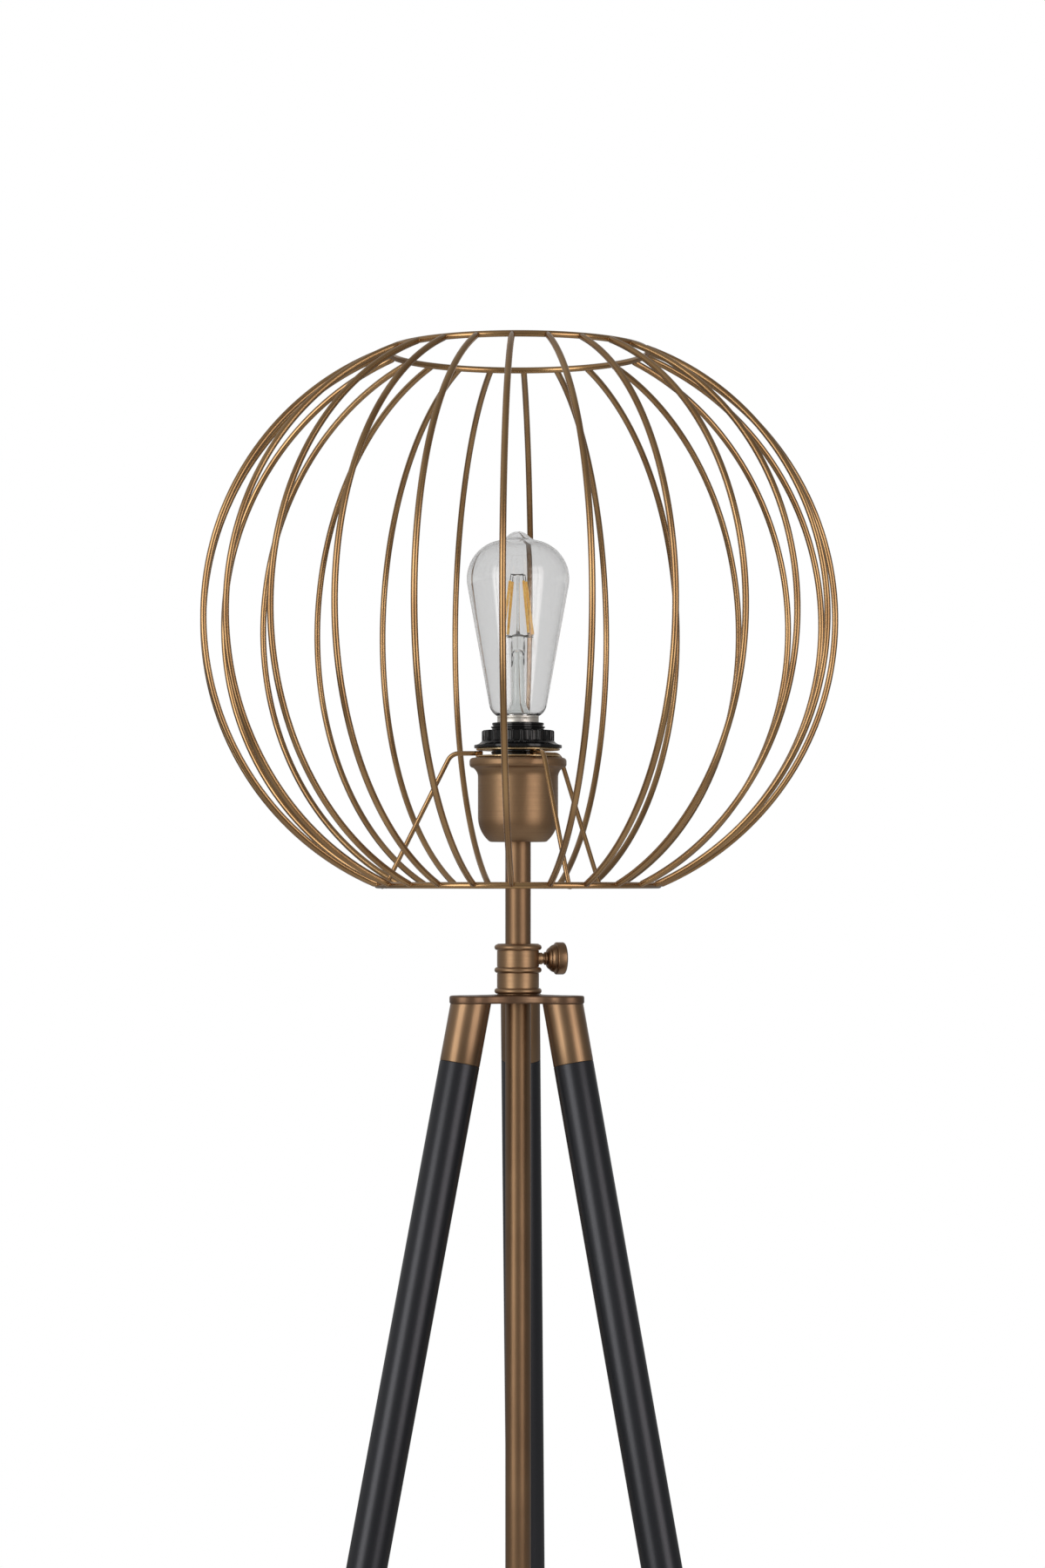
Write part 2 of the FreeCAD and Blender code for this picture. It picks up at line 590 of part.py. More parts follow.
def hub_collar():
    bore = "(pole_radius + bore_gap)"
    groove = "(pole_radius + bush_wall + 2 * running_gap)"
    curve = "((bead_height ^ 2 / 4 + bead_out ^ 2) / (2 * bead_out))"
    points = [(bore, "0"), ("collar_radius", "0")]
    for bead in ("low_bead", "middle_bead", "(collar_height - top_bead_drop)"):
        points.append(("collar_radius", bead, curve, "left"))
        points.append(("collar_radius", bead + " + bead_height"))
    points += [
        ("collar_radius", "collar_height - collar_chamfer"),
        ("collar_radius - collar_chamfer", "collar_height"),
        (bore, "collar_height"),
        (bore, "bush_seat + bush_groove"),
        (groove, "bush_seat + bush_groove"),
        (groove, "bush_seat"),
        (bore, "bush_seat"),
    ]
    body = turned("hub_collar", points)
    boss = new_sketch(body, "Boss", "YZ_Plane")
    draw_circle(boss, "boss_radius", "0", "clamp_height")
    start = "(pole_radius + collar_radius) / 2"
    boss.setExpression("AttachmentOffset.Base.z", cells(start))
    pad = body.newObject("PartDesign::Pad", "hub_collar_BossPad")
    pad.Profile = boss
    bind(pad, Length="boss_reach - " + start)
    body.Tip = pad

    drilling = new_sketch(body, "ClampHole", "YZ_Plane")
    draw_circle(drilling, "screw_radius + thread_gap", "0", "clamp_height")
    drilling.setExpression("AttachmentOffset.Base.z", cells("boss_reach"))
    cut_away(body, drilling, "ClampPocket", "boss_reach - pole_radius")

    drilling = new_sketch(body, "ScrewHole", "XY_Plane")
    for index in range(LEGS):
        azimuth = FIRST_LEG + TURN / 2 + index * TURN / LEGS
        draw_circle(drilling, "collar_screw_radius + thread_gap",
                    "collar_screw_circle * cos(%g - clamp_azimuth)" % azimuth,
                    "collar_screw_circle * sin(%g - clamp_azimuth)" % azimuth, str(index))
    cut_away(body, drilling, "ScrewPocket", "collar_screw_length - hub_thickness + hole_tip", backwards=True)
    return place(body, "hub_height", yaw="clamp_azimuth")


def screws(label, circle, radius, head, length, recess, recess_depth, azimuth, head_up):
    """Three countersunk screws. The lower end of a screw is at height 0."""
    body = new_body(label)
    sketch = new_sketch(body, "Outline")
    head_level = length if head_up else "0"
    tip_level = "0" if head_up else length
    recess_level = "%s - %s" % (length, recess_depth) if head_up else recess_depth
    axis = turn_axis(sketch, (circle, "0"), (circle, length))
    points = countersunk(circle, radius, head, length, head_level, tip_level)
    draw_outline(sketch, [
        (circle, recess_level),
        ("%s + %s" % (circle, recess), recess_level),
        ("%s + %s" % (circle, recess), head_level),
    ] + points[1:])
    swing(sketch, azimuth)
    screw = revolve(body, sketch, axis)
    round_pattern(body, [screw], LEGS)
    return body


def swivel_bush():
    inner = "(pole_radius + running_gap)"
    outer = "(%s + bush_wall)" % inner
    height = "(bush_groove - 2 * part_gap)"
    body = turned("swivel_bush", [(inner, "0"), (outer, "0"), (outer, height), (inner, height)])
    slot = new_sketch(body, "Slot", "XY_Plane")
    draw_outline(slot, [
        ("0 - 2 * pole_radius", "0 - bush_slot / 2"),
        ("0", "0 - bush_slot / 2"),
        ("0", "bush_slot / 2"),
        ("0 - 2 * pole_radius", "bush_slot / 2"),
    ])
    cut_away(body, slot, "SlotPocket", "3 * bush_groove", both_ways=True)
    return place(body, "hub_height + bush_seat + part_gap")


# Thumb screw, turned about the clamp's axis. Its outline is drawn along the pole's radius, at the screw's height.

def thumb_screw():
    tip = "(pole_radius + bore_gap + pad_length + running_gap)"
    neck = "(boss_reach + knob_gap)"
    flange = "(%s + knob_neck)" % neck
    step = "(%s + knob_flange)" % flange
    swell = "(%s + knob_step)" % step
    rim = "(%s + knob_swell)" % swell
    shoulder = "(%s + knob_rim)" % rim
    face = "(%s + knob_shoulder)" % shoulder
    body = turned("thumb_screw", [
        (tip, "0"),
        (face + " + knob_face", "0", "(knob_face_radius ^ 2 + knob_face ^ 2) / (2 * knob_face)", "left"),
        (face, "knob_face_radius", "knob_shoulder_curve", "left"),
        (shoulder, "knob_radius"),
        (rim + " + knob_rim_rise", "knob_radius", "knob_rim_curve", "left"),
        (rim, "knob_rim_start"),
        (rim, "knob_swell_radius", "knob_swell_curve", "left"),
        (swell, "knob_swell_start"),
        (swell, "knob_step_radius", "knob_step_curve", "left"),
        (step, "knob_step_start"),
        (step, "knob_flange_radius"),
        (flange, "knob_flange_radius"),
        (flange, "knob_neck_radius"),
        (neck, "knob_neck_radius"),
        (neck, "screw_radius"),
        (tip + " + screw_chamfer", "screw_radius"),
        (tip, "screw_radius - screw_chamfer"),
    ], "H_Axis")
    return place(body, CLAMP_LEVEL, yaw="clamp_azimuth")


def clamp_pad():
    pad = primitive("Part::Cylinder", "clamp_pad", Radius="pad_radius", Height="pad_length")
    x = "(pole_radius + bore_gap) * cos(clamp_azimuth)"
    y = "(pole_radius + bore_gap) * sin(clamp_azimuth)"
    return place(pad, CLAMP_LEVEL, x, y, "clamp_azimuth", "90")


# Legs. Each is drawn upright under its own place on the plate, and leans out as a whole.

def leg_ferrule(azimuth, number_of_leg):
    spigot = "(%s - running_gap)" % TUBE_BORE
    body = turned("leg_ferrule_%d" % number_of_leg, [
        ("0", "leg_radius"),
        ("0", "0 - ferrule_head"),
        ("ferrule_bore", "0 - ferrule_head"),
        ("ferrule_bore", "0 - ferrule_length - ferrule_spigot"),
        (spigot, "0 - ferrule_length - ferrule_spigot"),
        (spigot, "0 - ferrule_length"),
        ("leg_radius", "0 - ferrule_length"),
        ("leg_radius", "leg_radius"),
    ])
    level_cut(body, "0", "0", "2 * leg_radius")
    drilling = new_sketch(body, "BoltHole")
    depth = "(leg_bolt_length - hub_thickness + hole_tip)"
    width = "(leg_bolt_radius + thread_gap)"
    axis = turn_axis(drilling, leg_place("0", "0"), leg_place("0", "0 - " + depth))
    draw_outline(drilling, [
        leg_place("0", "0"),
        leg_place("0", "0 - " + depth),
        leg_place(width, "0 - " + depth),
        leg_place(width, "0"),
    ])
    cut_round(body, drilling, "BoltGroove", axis)
    return place_on_leg(body, azimuth)


def leg_tube(azimuth, number_of_leg):
    top = "0 - ferrule_length"
    bottom = "foot_sole - " + LEG_LENGTH
    body = turned("leg_tube_%d" % number_of_leg, [
        (TUBE_BORE, top), (TUBE_BORE, bottom), ("leg_radius", bottom), ("leg_radius", top),
    ])
    return place_on_leg(body, azimuth)


def leg_foot(azimuth, number_of_leg):
    sole = "(foot_sole - %s)" % LEG_LENGTH
    top = "(%s + foot_sleeve)" % sole
    inner = "(leg_radius + running_gap)"
    end = "(0 - %s - %s)" % (LEG_LENGTH, FOOT_RADIUS)
    body = turned("leg_foot_%d" % number_of_leg, [
        ("0", sole),
        ("0", end),
        (FOOT_RADIUS, end),
        (FOOT_RADIUS, top + " - foot_chamfer"),
        (FOOT_RADIUS + " - foot_chamfer / 2", top),
        (inner, top),
        (inner, sole),
    ])
    level_cut(body, FOOT_CIRCLE + " - hub_leg_radius", "0 - " + PLATE_UNDERSIDE, "0 - 3 * " + FOOT_RADIUS)
    return place_on_leg(body, azimuth)


# Pole, and what joins it to the socket

def center_pole():
    body = turned("center_pole", [
        (POLE_BORE, "0"), ("pole_radius", "0"), ("pole_radius", "pole_length"), (POLE_BORE, "pole_length"),
    ])
    return place(body, CUP_FOOT + " - pole_length")


def pole_outlet_bush():
    spigot = "(%s - running_gap)" % POLE_BORE
    body = turned("pole_outlet_bush", [
        ("outlet_radius", "0 - outlet_flange"),
        ("pole_radius", "0 - outlet_flange"),
        ("pole_radius", "0"),
        (spigot, "0"),
        (spigot, "outlet_spigot"),
        ("outlet_radius", "outlet_spigot"),
    ])
    return place(body, CUP_FOOT + " - pole_length")


def ring(label, inner, outer, height, level):
    body = turned(label, [(inner, "0"), (outer, "0"), (outer, height), (inner, height)])
    return place(body, level)


def nipple_lock_nut():
    blank = primitive("Part::Prism", "lock_nut_blank", Circumradius="lock_nut_width / 2 / cos(30)",
                      Height="lock_nut_thickness")
    blank.Polygon = 6
    drill = primitive("Part::Cylinder", "lock_nut_drill", Radius="nipple_radius + thread_gap",
                      Height="lock_nut_thickness")
    return place(cut("nipple_lock_nut", blank, drill), CUP_FOOT + " + cup_wall")


# Cup: one spun sheet. Both faces of it follow the same path, the inner one a wall further in.

def cup_path(inset, rim_corner):
    middle = "(cup_radius - cup_bowl_curve)"
    reach = "(cup_bowl_curve - cup_foot_curve)"
    drop = "(cup_bowl_height - cup_foot_curve)"
    foot = "(%s + sqrt(%s ^ 2 - %s ^ 2))" % (middle, reach, drop)
    curve = "(cup_foot_curve - %s)" % inset
    rim_foot = "(%s - cup_rim_curve)" % CUP_RIM
    flare = "(cup_flare_curve + %s)" % inset
    turn = "acos(1 - (%s - cup_radius) / cup_flare_curve)" % rim_foot
    flare_start = "(cup_height - cup_rim_height - cup_flare_curve * sin(%s))" % turn
    return [
        (foot, inset, curve, "left"),
        ("%s + %s * (%s - %s) / %s" % (foot, curve, foot, middle, reach),
         "cup_foot_curve - %s * %s / %s" % (curve, drop, reach), "(cup_bowl_curve - %s)" % inset, "left"),
        ("cup_radius - " + inset, "cup_bowl_height"),
        ("cup_radius - " + inset, flare_start, flare, "right"),
        ("cup_radius + cup_flare_curve - %s * cos(%s)" % (flare, turn),
         "%s + %s * sin(%s)" % (flare_start, flare, turn)) + rim_corner,
        (CUP_RIM + " - " + inset, "cup_height - cup_rim_height + cup_rim_curve"),
        (CUP_RIM + " - " + inset, "cup_height - cup_rim_curve", "(cup_rim_curve - %s)" % inset, "left"),
        (rim_foot, "cup_height - " + inset),
    ]


def socket_cup():
    hole = "(nipple_radius + thread_gap)"
    points = [(hole, "0")] + cup_path("0", ("cup_rim_curve", "left"))
    points += [("cup_lip_radius", "cup_height"), ("cup_lip_radius", "cup_height - cup_wall")]
    points += back_along(cup_path("cup_wall", ())) + [(hole, "cup_wall")]
    return place(turned("socket_cup", points), CUP_FOOT)


# Socket, with the parts that carry the current

def socket_body():
    nipple_hole = "(nipple_radius + thread_gap)"
    hole_end = "(nipple_socket_grip + hole_tip)"
    bore = "(%s + running_gap)" % SHELL_RADIUS
    floor = "(socket_height - socket_bore_depth)"
    thread_start = "(socket_height - socket_thread)"
    body = turned("socket_body", [
        (nipple_hole, "0"),
        ("socket_base_radius", "0"),
        ("socket_radius", "socket_base_taper"),
        ("socket_radius", thread_start),
        ("socket_thread_radius", thread_start + " + socket_thread_radius - socket_radius"),
        ("socket_thread_radius", "socket_height - socket_chamfer"),
        ("socket_thread_radius - socket_chamfer", "socket_height"),
        (bore, "socket_height"),
        (bore, floor),
        ("wire_hole", floor),
        ("wire_hole", hole_end),
        (nipple_hole, hole_end),
    ])
    drilling = new_sketch(body, "TerminalHole")
    start = "(socket_radius - terminal_length - hole_tip)"
    width = "(terminal_radius + thread_gap)"
    axis = turn_axis(drilling, (start, "terminal_height"), ("socket_radius", "terminal_height"))
    draw_outline(drilling, [
        (start, "terminal_height"),
        ("socket_radius + hole_tip", "terminal_height"),
        ("socket_radius + hole_tip", "terminal_height + " + width),
        (start, "terminal_height + " + width),
    ])
    hole = cut_round(body, drilling, "TerminalGroove", axis)
    round_pattern(body, [hole], TERMINALS)
    return place(body, SOCKET_FOOT)


def socket_terminal_screws():
    body = new_body("socket_terminal_screws")
    sketch = new_sketch(body, "Outline")
    start = "(socket_radius - terminal_length)"
    head = "(socket_radius + thread_gap)"
    end = "(%s + terminal_head)" % head
    axis = turn_axis(sketch, (start, "terminal_height"), (end, "terminal_height"))
    draw_outline(sketch, [
        (start, "terminal_height"),
        (end, "terminal_height"),
        (end, "terminal_height + terminal_head_radius"),
        (head, "terminal_height + terminal_head_radius"),
        (head, "terminal_height + terminal_radius"),
        (start, "terminal_height + terminal_radius"),
    ])
    screw = revolve(body, sketch, axis)
    round_pattern(body, [screw], TERMINALS)
    return place(body, SOCKET_FOOT)


def socket_screw_shell():
    flange = "(%s - shell_flange)" % SHELL_BORE
    body = turned("socket_screw_shell", [
        (flange, "0"),
        (SHELL_RADIUS, "0"),
        (SHELL_RADIUS, "shell_height"),
        (SHELL_BORE, "shell_height"),
        (SHELL_BORE, "shell_wall"),
        (flange, "shell_wall"),
    ])
    return place(body, SOCKET_TOP + " - shell_drop - shell_height")


def socket_centre_contact():
    body = new_body("socket_centre_contact")
    sketch = new_sketch(body, "Outline")
    rise = "(socket_bore_depth + cap_rise - cap_height - tip_contact - part_gap)"
    low = "(%s - contact_sheet)" % rise
    draw_outline(sketch, [
        ("0 - contact_reach", "0"),
        ("contact_foot - contact_reach", "0"),
        ("contact_reach - contact_flat", low),
        ("contact_reach", low),
        ("contact_reach", rise),
        ("contact_reach - contact_flat - contact_sheet / 2", rise),
        ("contact_foot - contact_reach - contact_sheet / 2", "contact_sheet"),
        ("0 - contact_reach", "contact_sheet"),
    ])
    pad = body.newObject("PartDesign::Pad", "socket_centre_contact_Pad")
    pad.Profile = sketch
    pad.Midplane = True
    bind(pad, Length="contact_width")
    body.Tip = pad
    return place(body, SOCKET_TOP + " - socket_bore_depth")


# Fitter: ring and washer hold the arms between them, and the ring nut clamps them on the socket

def ring_nut():
    body = turned("ring_nut", [
        (NUT_BORE, "0"),
        ("nut_flange_radius", "0"),
        ("nut_flange_radius", "nut_flange", "nut_flare_curve", "right"),
        ("nut_radius", "nut_flare_height"),
        ("nut_radius", "nut_height - nut_chamfer"),
        ("nut_radius - nut_chamfer", "nut_height"),
        (NUT_BORE, "nut_height"),
    ])
    groove = new_sketch(body, "Groove", "XY_Plane")
    draw_circle(groove, "nut_groove_radius", "nut_radius - nut_groove_depth + nut_groove_radius")
    groove.setExpression("AttachmentOffset.Base.z", cells("nut_height"))
    pocket = cut_away(body, groove, "GroovePocket", "nut_height - nut_flare_height")
    round_pattern(body, [pocket], NUT_RIBS)
    return place(body, NUT_LEVEL)


# Cage: arms, rings and upright wires

def spider_arms():
    body = new_body("spider_arms")
    span = "(bottom_ring_radius - arm_corner)"
    reach = "sqrt(%s ^ 2 + arm_drop ^ 2)" % span
    touch = "(ring_wire + arm_wire) / 2"
    lean = "((atan(%s / arm_drop) - asin(%s / %s)) / 1 deg)" % (span, touch, reach)
    run = "(sqrt(%s ^ 2 + arm_drop ^ 2 - (%s) ^ 2) + arm_wire / 2)" % (span, touch)
    trim = "(arm_bend * tan((90 - %s) / 2))" % lean
    bend_start = Vector(number("arm_corner - " + trim), 0, 0)
    bend_end = Vector(number("arm_corner + %s * sin(%s)" % (trim, lean)),
                      number("0 - %s * cos(%s)" % (trim, lean)), 0)
    end_x = "arm_corner + %s * sin(%s)" % (run, lean)
    end_y = "0 - %s * cos(%s)" % (run, lean)
    path = new_sketch(body, "Path")
    level = path.addGeometry(Part.LineSegment(Vector(number("arm_inner"), 0, 0), bend_start))
    bend = path.addGeometry(arc_between(bend_start, bend_end, number("arm_bend"), False))
    slope = path.addGeometry(Part.LineSegment(bend_end, Vector(number(end_x), number(end_y), 0)))
    # The bend runs clockwise, and the sketch keeps it from its end to its start
    path.addConstraint(Sketcher.Constraint("Coincident", level, 2, bend, 2))
    path.addConstraint(Sketcher.Constraint("Coincident", bend, 1, slope, 1))
    fix_point(path, level, 1, "arm_inner", "0", "inner")
    fix_point(path, level, 2, "arm_corner - " + trim, "0", "bendstart")
    fix_point(path, slope, 1, "arm_corner + %s * sin(%s)" % (trim, lean),
              "0 - %s * cos(%s)" % (trim, lean), "bendend")
    fix_point(path, slope, 2, end_x, end_y, "end")
    size_constraint(path, "Radius", bend, "arm_bend", "bend")
    section = new_sketch(body, "Section", "YZ_Plane")
    draw_circle(section, "arm_wire / 2")
    section.setExpression("AttachmentOffset.Base.z", cells("arm_inner"))
    doc.recompute()
    arm = body.newObject("PartDesign::AdditivePipe", "spider_arms_Pipe")
    arm.Profile = section
    arm.Spine = (path, ["Edge1", "Edge2", "Edge3"])
    body.Tip = arm
    round_pattern(body, [arm], ARMS)
    return place(body, ARM_LEVEL, yaw="arm_azimuth")


def cage_ring(label, radius, level):
    return place(primitive("Part::Torus", label, Radius1=radius, Radius2="ring_wire / 2"), level)


def cage_wire(index):
    """One upright wire, an arc whose square ends touch the wires of both rings."""
    inset = "2 * asin(ring_wire / 4 / %s)" % WIRE_BEND
    low = "((asin(%s / %s) - %s) / 1 deg)" % (WAIST_HEIGHT, WIRE_BEND, inset)
    high = "((asin((cage_height - %s) / %s) - %s) / 1 deg)" % (WAIST_HEIGHT, WIRE_BEND, inset)
    azimuth = index * TURN / CAGE_WIRES
    wire = primitive("Part::Torus", "cage_wire_%02d" % (index + 1), Radius1=WIRE_BEND, Radius2="cage_wire / 2",
                     Angle3="%s + %s" % (low, high))
    return place(wire, "%s + %s" % (BOTTOM_RING_LEVEL, WAIST_HEIGHT), "%s * cos(%g)" % (WIRE_CENTRE, azimuth),
                 "%s * sin(%g)" % (WIRE_CENTRE, azimuth), str(azimuth), low, "90")


# Bulb

def bulb_glass():
    seat = "(cap_radius - cap_wall - running_gap)"
    lean = "(90 - bulb_cone_angle)"
    cone = "tan(bulb_cone_angle)"
    cone_radius = "(bulb_head_radius + bulb_head_curve * cos(bulb_cone_angle))"
    cone_height = "(bulb_shoulder_height + (%s - bulb_shoulder_radius) / %s)" % (cone_radius, cone)
    head = "(%s + bulb_head_curve * sin(bulb_cone_angle))" % cone_height
    crown = "(%s + sqrt(bulb_head_curve ^ 2 - (bulb_tip_start - bulb_head_radius) ^ 2))" % head
    across = "bulb_wall * cos(bulb_cone_angle)"
    up = "bulb_wall * sin(bulb_cone_angle)"
    tip_curve = "((bulb_tip_radius ^ 2 + bulb_tip_round ^ 2) / (2 * bulb_tip_round))"
    inside = "(%s + bulb_head_curve - bulb_wall)" % head
    body = turned("bulb_glass", [
        (seat + " - bulb_wall", "0 - bulb_seat"),
        (seat, "0 - bulb_seat"),
        (seat, "bulb_seat_gap"),
        ("bulb_neck_radius", "bulb_seat_gap", "bulb_shoulder_curve", "left"),
        ("bulb_shoulder_radius", "bulb_shoulder_height"),
        (cone_radius, cone_height, "bulb_head_curve", "left"),
        ("bulb_tip_start", crown, "bulb_tip_flare", "right"),
        ("bulb_tip_radius", crown + " + bulb_tip_foot", tip_curve, "left"),
        ("0", crown + " + bulb_tip_foot + bulb_tip_round"),
        ("0", inside),
        ("bulb_head_radius", inside, "(bulb_head_curve - bulb_wall)", "right"),
        ("%s - %s" % (cone_radius, across), "%s + %s" % (cone_height, up)),
        ("bulb_shoulder_radius - " + across, "bulb_shoulder_height + " + up,
         "(bulb_shoulder_curve - bulb_wall)", "right"),
        ("bulb_neck_radius - bulb_wall / 2", "bulb_seat_gap + bulb_wall"),
        (seat + " - bulb_wall", "bulb_seat_gap + bulb_wall"),
    ])
    return place(body, GLASS_LEVEL)


def bulb_cap():
    body = turned("bulb_cap", [
        ("0", "0"),
        ("cap_foot_radius", "0"),
        ("cap_radius", "cap_taper"),
        ("cap_radius", "cap_height"),
        ("cap_radius - cap_wall", "cap_height"),
        ("cap_radius - cap_wall", "cap_taper"),
        ("cap_foot_radius", "cap_floor"),
        ("0", "cap_floor"),
    ])
    return place(body, CAP_FOOT)


def bulb_tip_contact():
    contact = primitive("Part::Cone", "bulb_tip_contact", Radius1="tip_contact_end",
                        Radius2="tip_contact_radius", Height="tip_contact - running_gap")
    return place(contact, CAP_FOOT + " - tip_contact")


def bulb_stem():
    wire_side = "(lead_wire + part_gap)"
    top = "(filament_high + 2 * %s)" % wire_side
    body = turned("bulb_stem", [
        ("0", "0"),
        ("stem_foot_radius", "0", "stem_flare_curve", "right"),
        ("stem_radius", "stem_flare_height"),
        ("stem_radius", "stem_height"),
        ("stem_rod_radius", "stem_height + stem_pinch"),
        ("stem_rod_radius", top),
        ("0", top),
    ])
    return place(body, GLASS_LEVEL)


def bulb_filaments():
    body = new_body("bulb_filaments")
    sketch = new_sketch(body, "Outline")
    low = ("filament_low_radius", "filament_low")
    high = ("filament_high_radius", "filament_high")
    lean = "atan((filament_low_radius - filament_high_radius) / (filament_high - filament_low))"
    across = "filament_radius * cos(%s)" % lean
    up = "filament_radius * sin(%s)" % lean
    axis = turn_axis(sketch, low, high)
    draw_outline(sketch, [
        low,
        ("%s + %s" % (low[0], across), "%s + %s" % (low[1], up)),
        ("%s + %s" % (high[0], across), "%s + %s" % (high[1], up)),
        high,
    ])
    stick = revolve(body, sketch, axis)
    round_pattern(body, [stick], FILAMENTS)
    return place(body, GLASS_LEVEL, yaw="filament_azimuth")


def bulb_support_wires():
    body = new_body("bulb_support_wires")
    spans = (
        ("Low", "(stem_radius + running_gap)", "filament_low_radius", "(filament_low - lead_wire - part_gap)"),
        ("High", "(stem_rod_radius + running_gap)", "filament_high_radius",
         "(filament_high + lead_wire + part_gap)"),
    )
    wires = []
    for name, start, end, level in spans:
        sketch = new_sketch(body, name)
        axis = turn_axis(sketch, (start, level), (end, level))
        draw_outline(sketch, [(start, level), (end, level), (end, level + " + lead_wire"),
                              (start, level + " + lead_wire")])
        wires.append(revolve(body, sketch, axis, name="Turned" + name))
    round_pattern(body, wires, FILAMENTS)
    return place(body, GLASS_LEVEL, yaw="filament_azimuth")


# All parts

parts = [hub_plate(), hub_collar()]
parts.append(place(screws("collar_screws", "collar_screw_circle", "collar_screw_radius", "collar_screw_head",
                          "collar_screw_length", "collar_screw_socket", "collar_screw_socket_depth",
                          FIRST_LEG + TURN / 2, False), PLATE_UNDERSIDE))
parts.append(place(screws("leg_bolts", "hub_leg_radius", "leg_bolt_radius", "leg_bolt_head", "leg_bolt_length",
                          "leg_bolt_socket", "leg_bolt_socket_depth", FIRST_LEG, True),
                   "hub_height - leg_bolt_length"))
parts += [swivel_bush(), clamp_pad(), thumb_screw()]
feet = []
for index in range(LEGS):
    azimuth = FIRST_LEG + index * TURN / LEGS
    parts.append(leg_ferrule(azimuth, index + 1))
    parts.append(leg_tube(azimuth, index + 1))
    feet.append(leg_foot(azimuth, index + 1))
leg_feet = doc.addObject("Part::Compound", "leg_feet")
leg_feet.Links = feet
leg_feet.Label = "leg_feet"
parts.append(leg_feet)
parts += [center_pole(), pole_outlet_bush()]
parts.append(ring("pole_top_insert", "(nipple_radius + thread_gap)", "(%s - running_gap)" % POLE_BORE,
                  "insert_length", CUP_FOOT + " - insert_length"))
parts.append(ring("threaded_nipple", "nipple_bore", "nipple_radius",
                  "(nipple_grip + %s - %s + nipple_socket_grip)" % (SOCKET_FOOT, CUP_FOOT),
                  CUP_FOOT + " - nipple_grip"))
parts += [nipple_lock_nut(), socket_cup(), socket_body(), socket_screw_shell(), socket_centre_contact()]
parts.append(socket_terminal_screws())
parts.append(ring("fitter_ring", NUT_BORE, "fitter_radius", "fitter_thickness", FITTER_LEVEL))
parts.append(ring("fitter_washer", NUT_BORE, "washer_radius", "fitter_thickness", WASHER_LEVEL))
parts += [ring_nut(), spider_arms()]
parts.append(cage_ring("cage_top_ring", "top_ring_radius", TOP_RING_LEVEL))
parts.append(cage_ring("cage_bottom_ring", "bottom_ring_radius", BOTTOM_RING_LEVEL))
parts += [cage_wire(index) for index in range(CAGE_WIRES)]
parts += [bulb_glass(), bulb_cap(), bulb_tip_contact(), bulb_stem(), bulb_filaments(), bulb_support_wires()]
doc.recompute()

# Checks before anything is written

for thing in doc.Objects:
    if "Invalid" in thing.State or "Error" in thing.State:
        raise RuntimeError("%s is %s" % (thing.Name, thing.State))
for part in parts:
    if part.Shape.isNull() or not part.Shape.isValid() or not part.Shape.Solids:
        raise RuntimeError("%s has no good shape" % part.Label)

os.makedirs("parts", exist_ok=True)
for part in parts:
    part.Shape.exportStep("parts/%s.step" % part.Label)
print("%d parts written" % len(parts))
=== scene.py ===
import math
import bpy
from mathutils import Matrix, Vector


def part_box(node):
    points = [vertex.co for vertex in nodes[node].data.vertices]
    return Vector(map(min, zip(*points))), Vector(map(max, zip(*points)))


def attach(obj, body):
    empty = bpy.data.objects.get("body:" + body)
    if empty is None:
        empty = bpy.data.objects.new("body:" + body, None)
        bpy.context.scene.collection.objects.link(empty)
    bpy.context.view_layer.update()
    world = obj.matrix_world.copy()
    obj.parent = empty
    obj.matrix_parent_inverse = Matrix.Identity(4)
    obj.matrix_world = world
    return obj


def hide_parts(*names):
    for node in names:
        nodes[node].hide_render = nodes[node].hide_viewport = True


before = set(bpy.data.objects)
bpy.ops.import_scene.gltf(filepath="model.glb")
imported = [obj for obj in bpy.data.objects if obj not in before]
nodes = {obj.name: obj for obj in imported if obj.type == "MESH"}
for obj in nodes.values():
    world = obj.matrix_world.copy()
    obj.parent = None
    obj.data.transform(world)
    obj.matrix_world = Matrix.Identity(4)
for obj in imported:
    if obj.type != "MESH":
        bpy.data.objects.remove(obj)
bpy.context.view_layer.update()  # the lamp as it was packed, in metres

mm = 0.001
print("frame loaded,", len(nodes), "solids")


# Places taken from the solids

def middleOf(node):
    low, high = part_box(node)
    return (low + high) / 2


def heights(node):
    low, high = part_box(node)
    return low.z, high.z


poleX, poleY = middleOf("center_pole").xy


# Small tools for modelling

def deselectAll():
    if bpy.context.mode != "OBJECT":
        bpy.ops.object.mode_set(mode="OBJECT")
    bpy.ops.object.select_all(action="DESELECT")


def choose(*pieces):
    deselectAll()
    for piece in pieces:
        piece.select_set(True)
    bpy.context.view_layer.objects.active = pieces[-1]


def editMode():
    bpy.ops.object.mode_set(mode="EDIT")
    bpy.ops.mesh.select_mode(type="VERT")


def objectMode():
    bpy.ops.object.mode_set(mode="OBJECT")


def nameIt(name):
    piece = bpy.context.active_object
    piece.name = name
    piece.data.name = name
    return piece


def selectPoints(piece, chosen):
    # marks single points of a mesh for the next step in edit mode
    piece.data.vertices.foreach_set("select", chosen)
    piece.data.edges.foreach_set("select", [False] * len(piece.data.edges))
    piece.data.polygons.foreach_set("select", [False] * len(piece.data.polygons))


def applyModifier(piece, kind, **settings):
    choose(piece)
    modifier = piece.modifiers.new(kind.title(), kind)
    for name, value in settings.items():
        setattr(modifier, name, value)
    bpy.ops.object.modifier_apply(modifier=modifier.name)


def roundEdges(piece, width, segments=2, angle=30):
    applyModifier(piece, "BEVEL", width=width * mm, segments=segments, limit_method="ANGLE",
                  angle_limit=math.radians(angle), harden_normals=False)


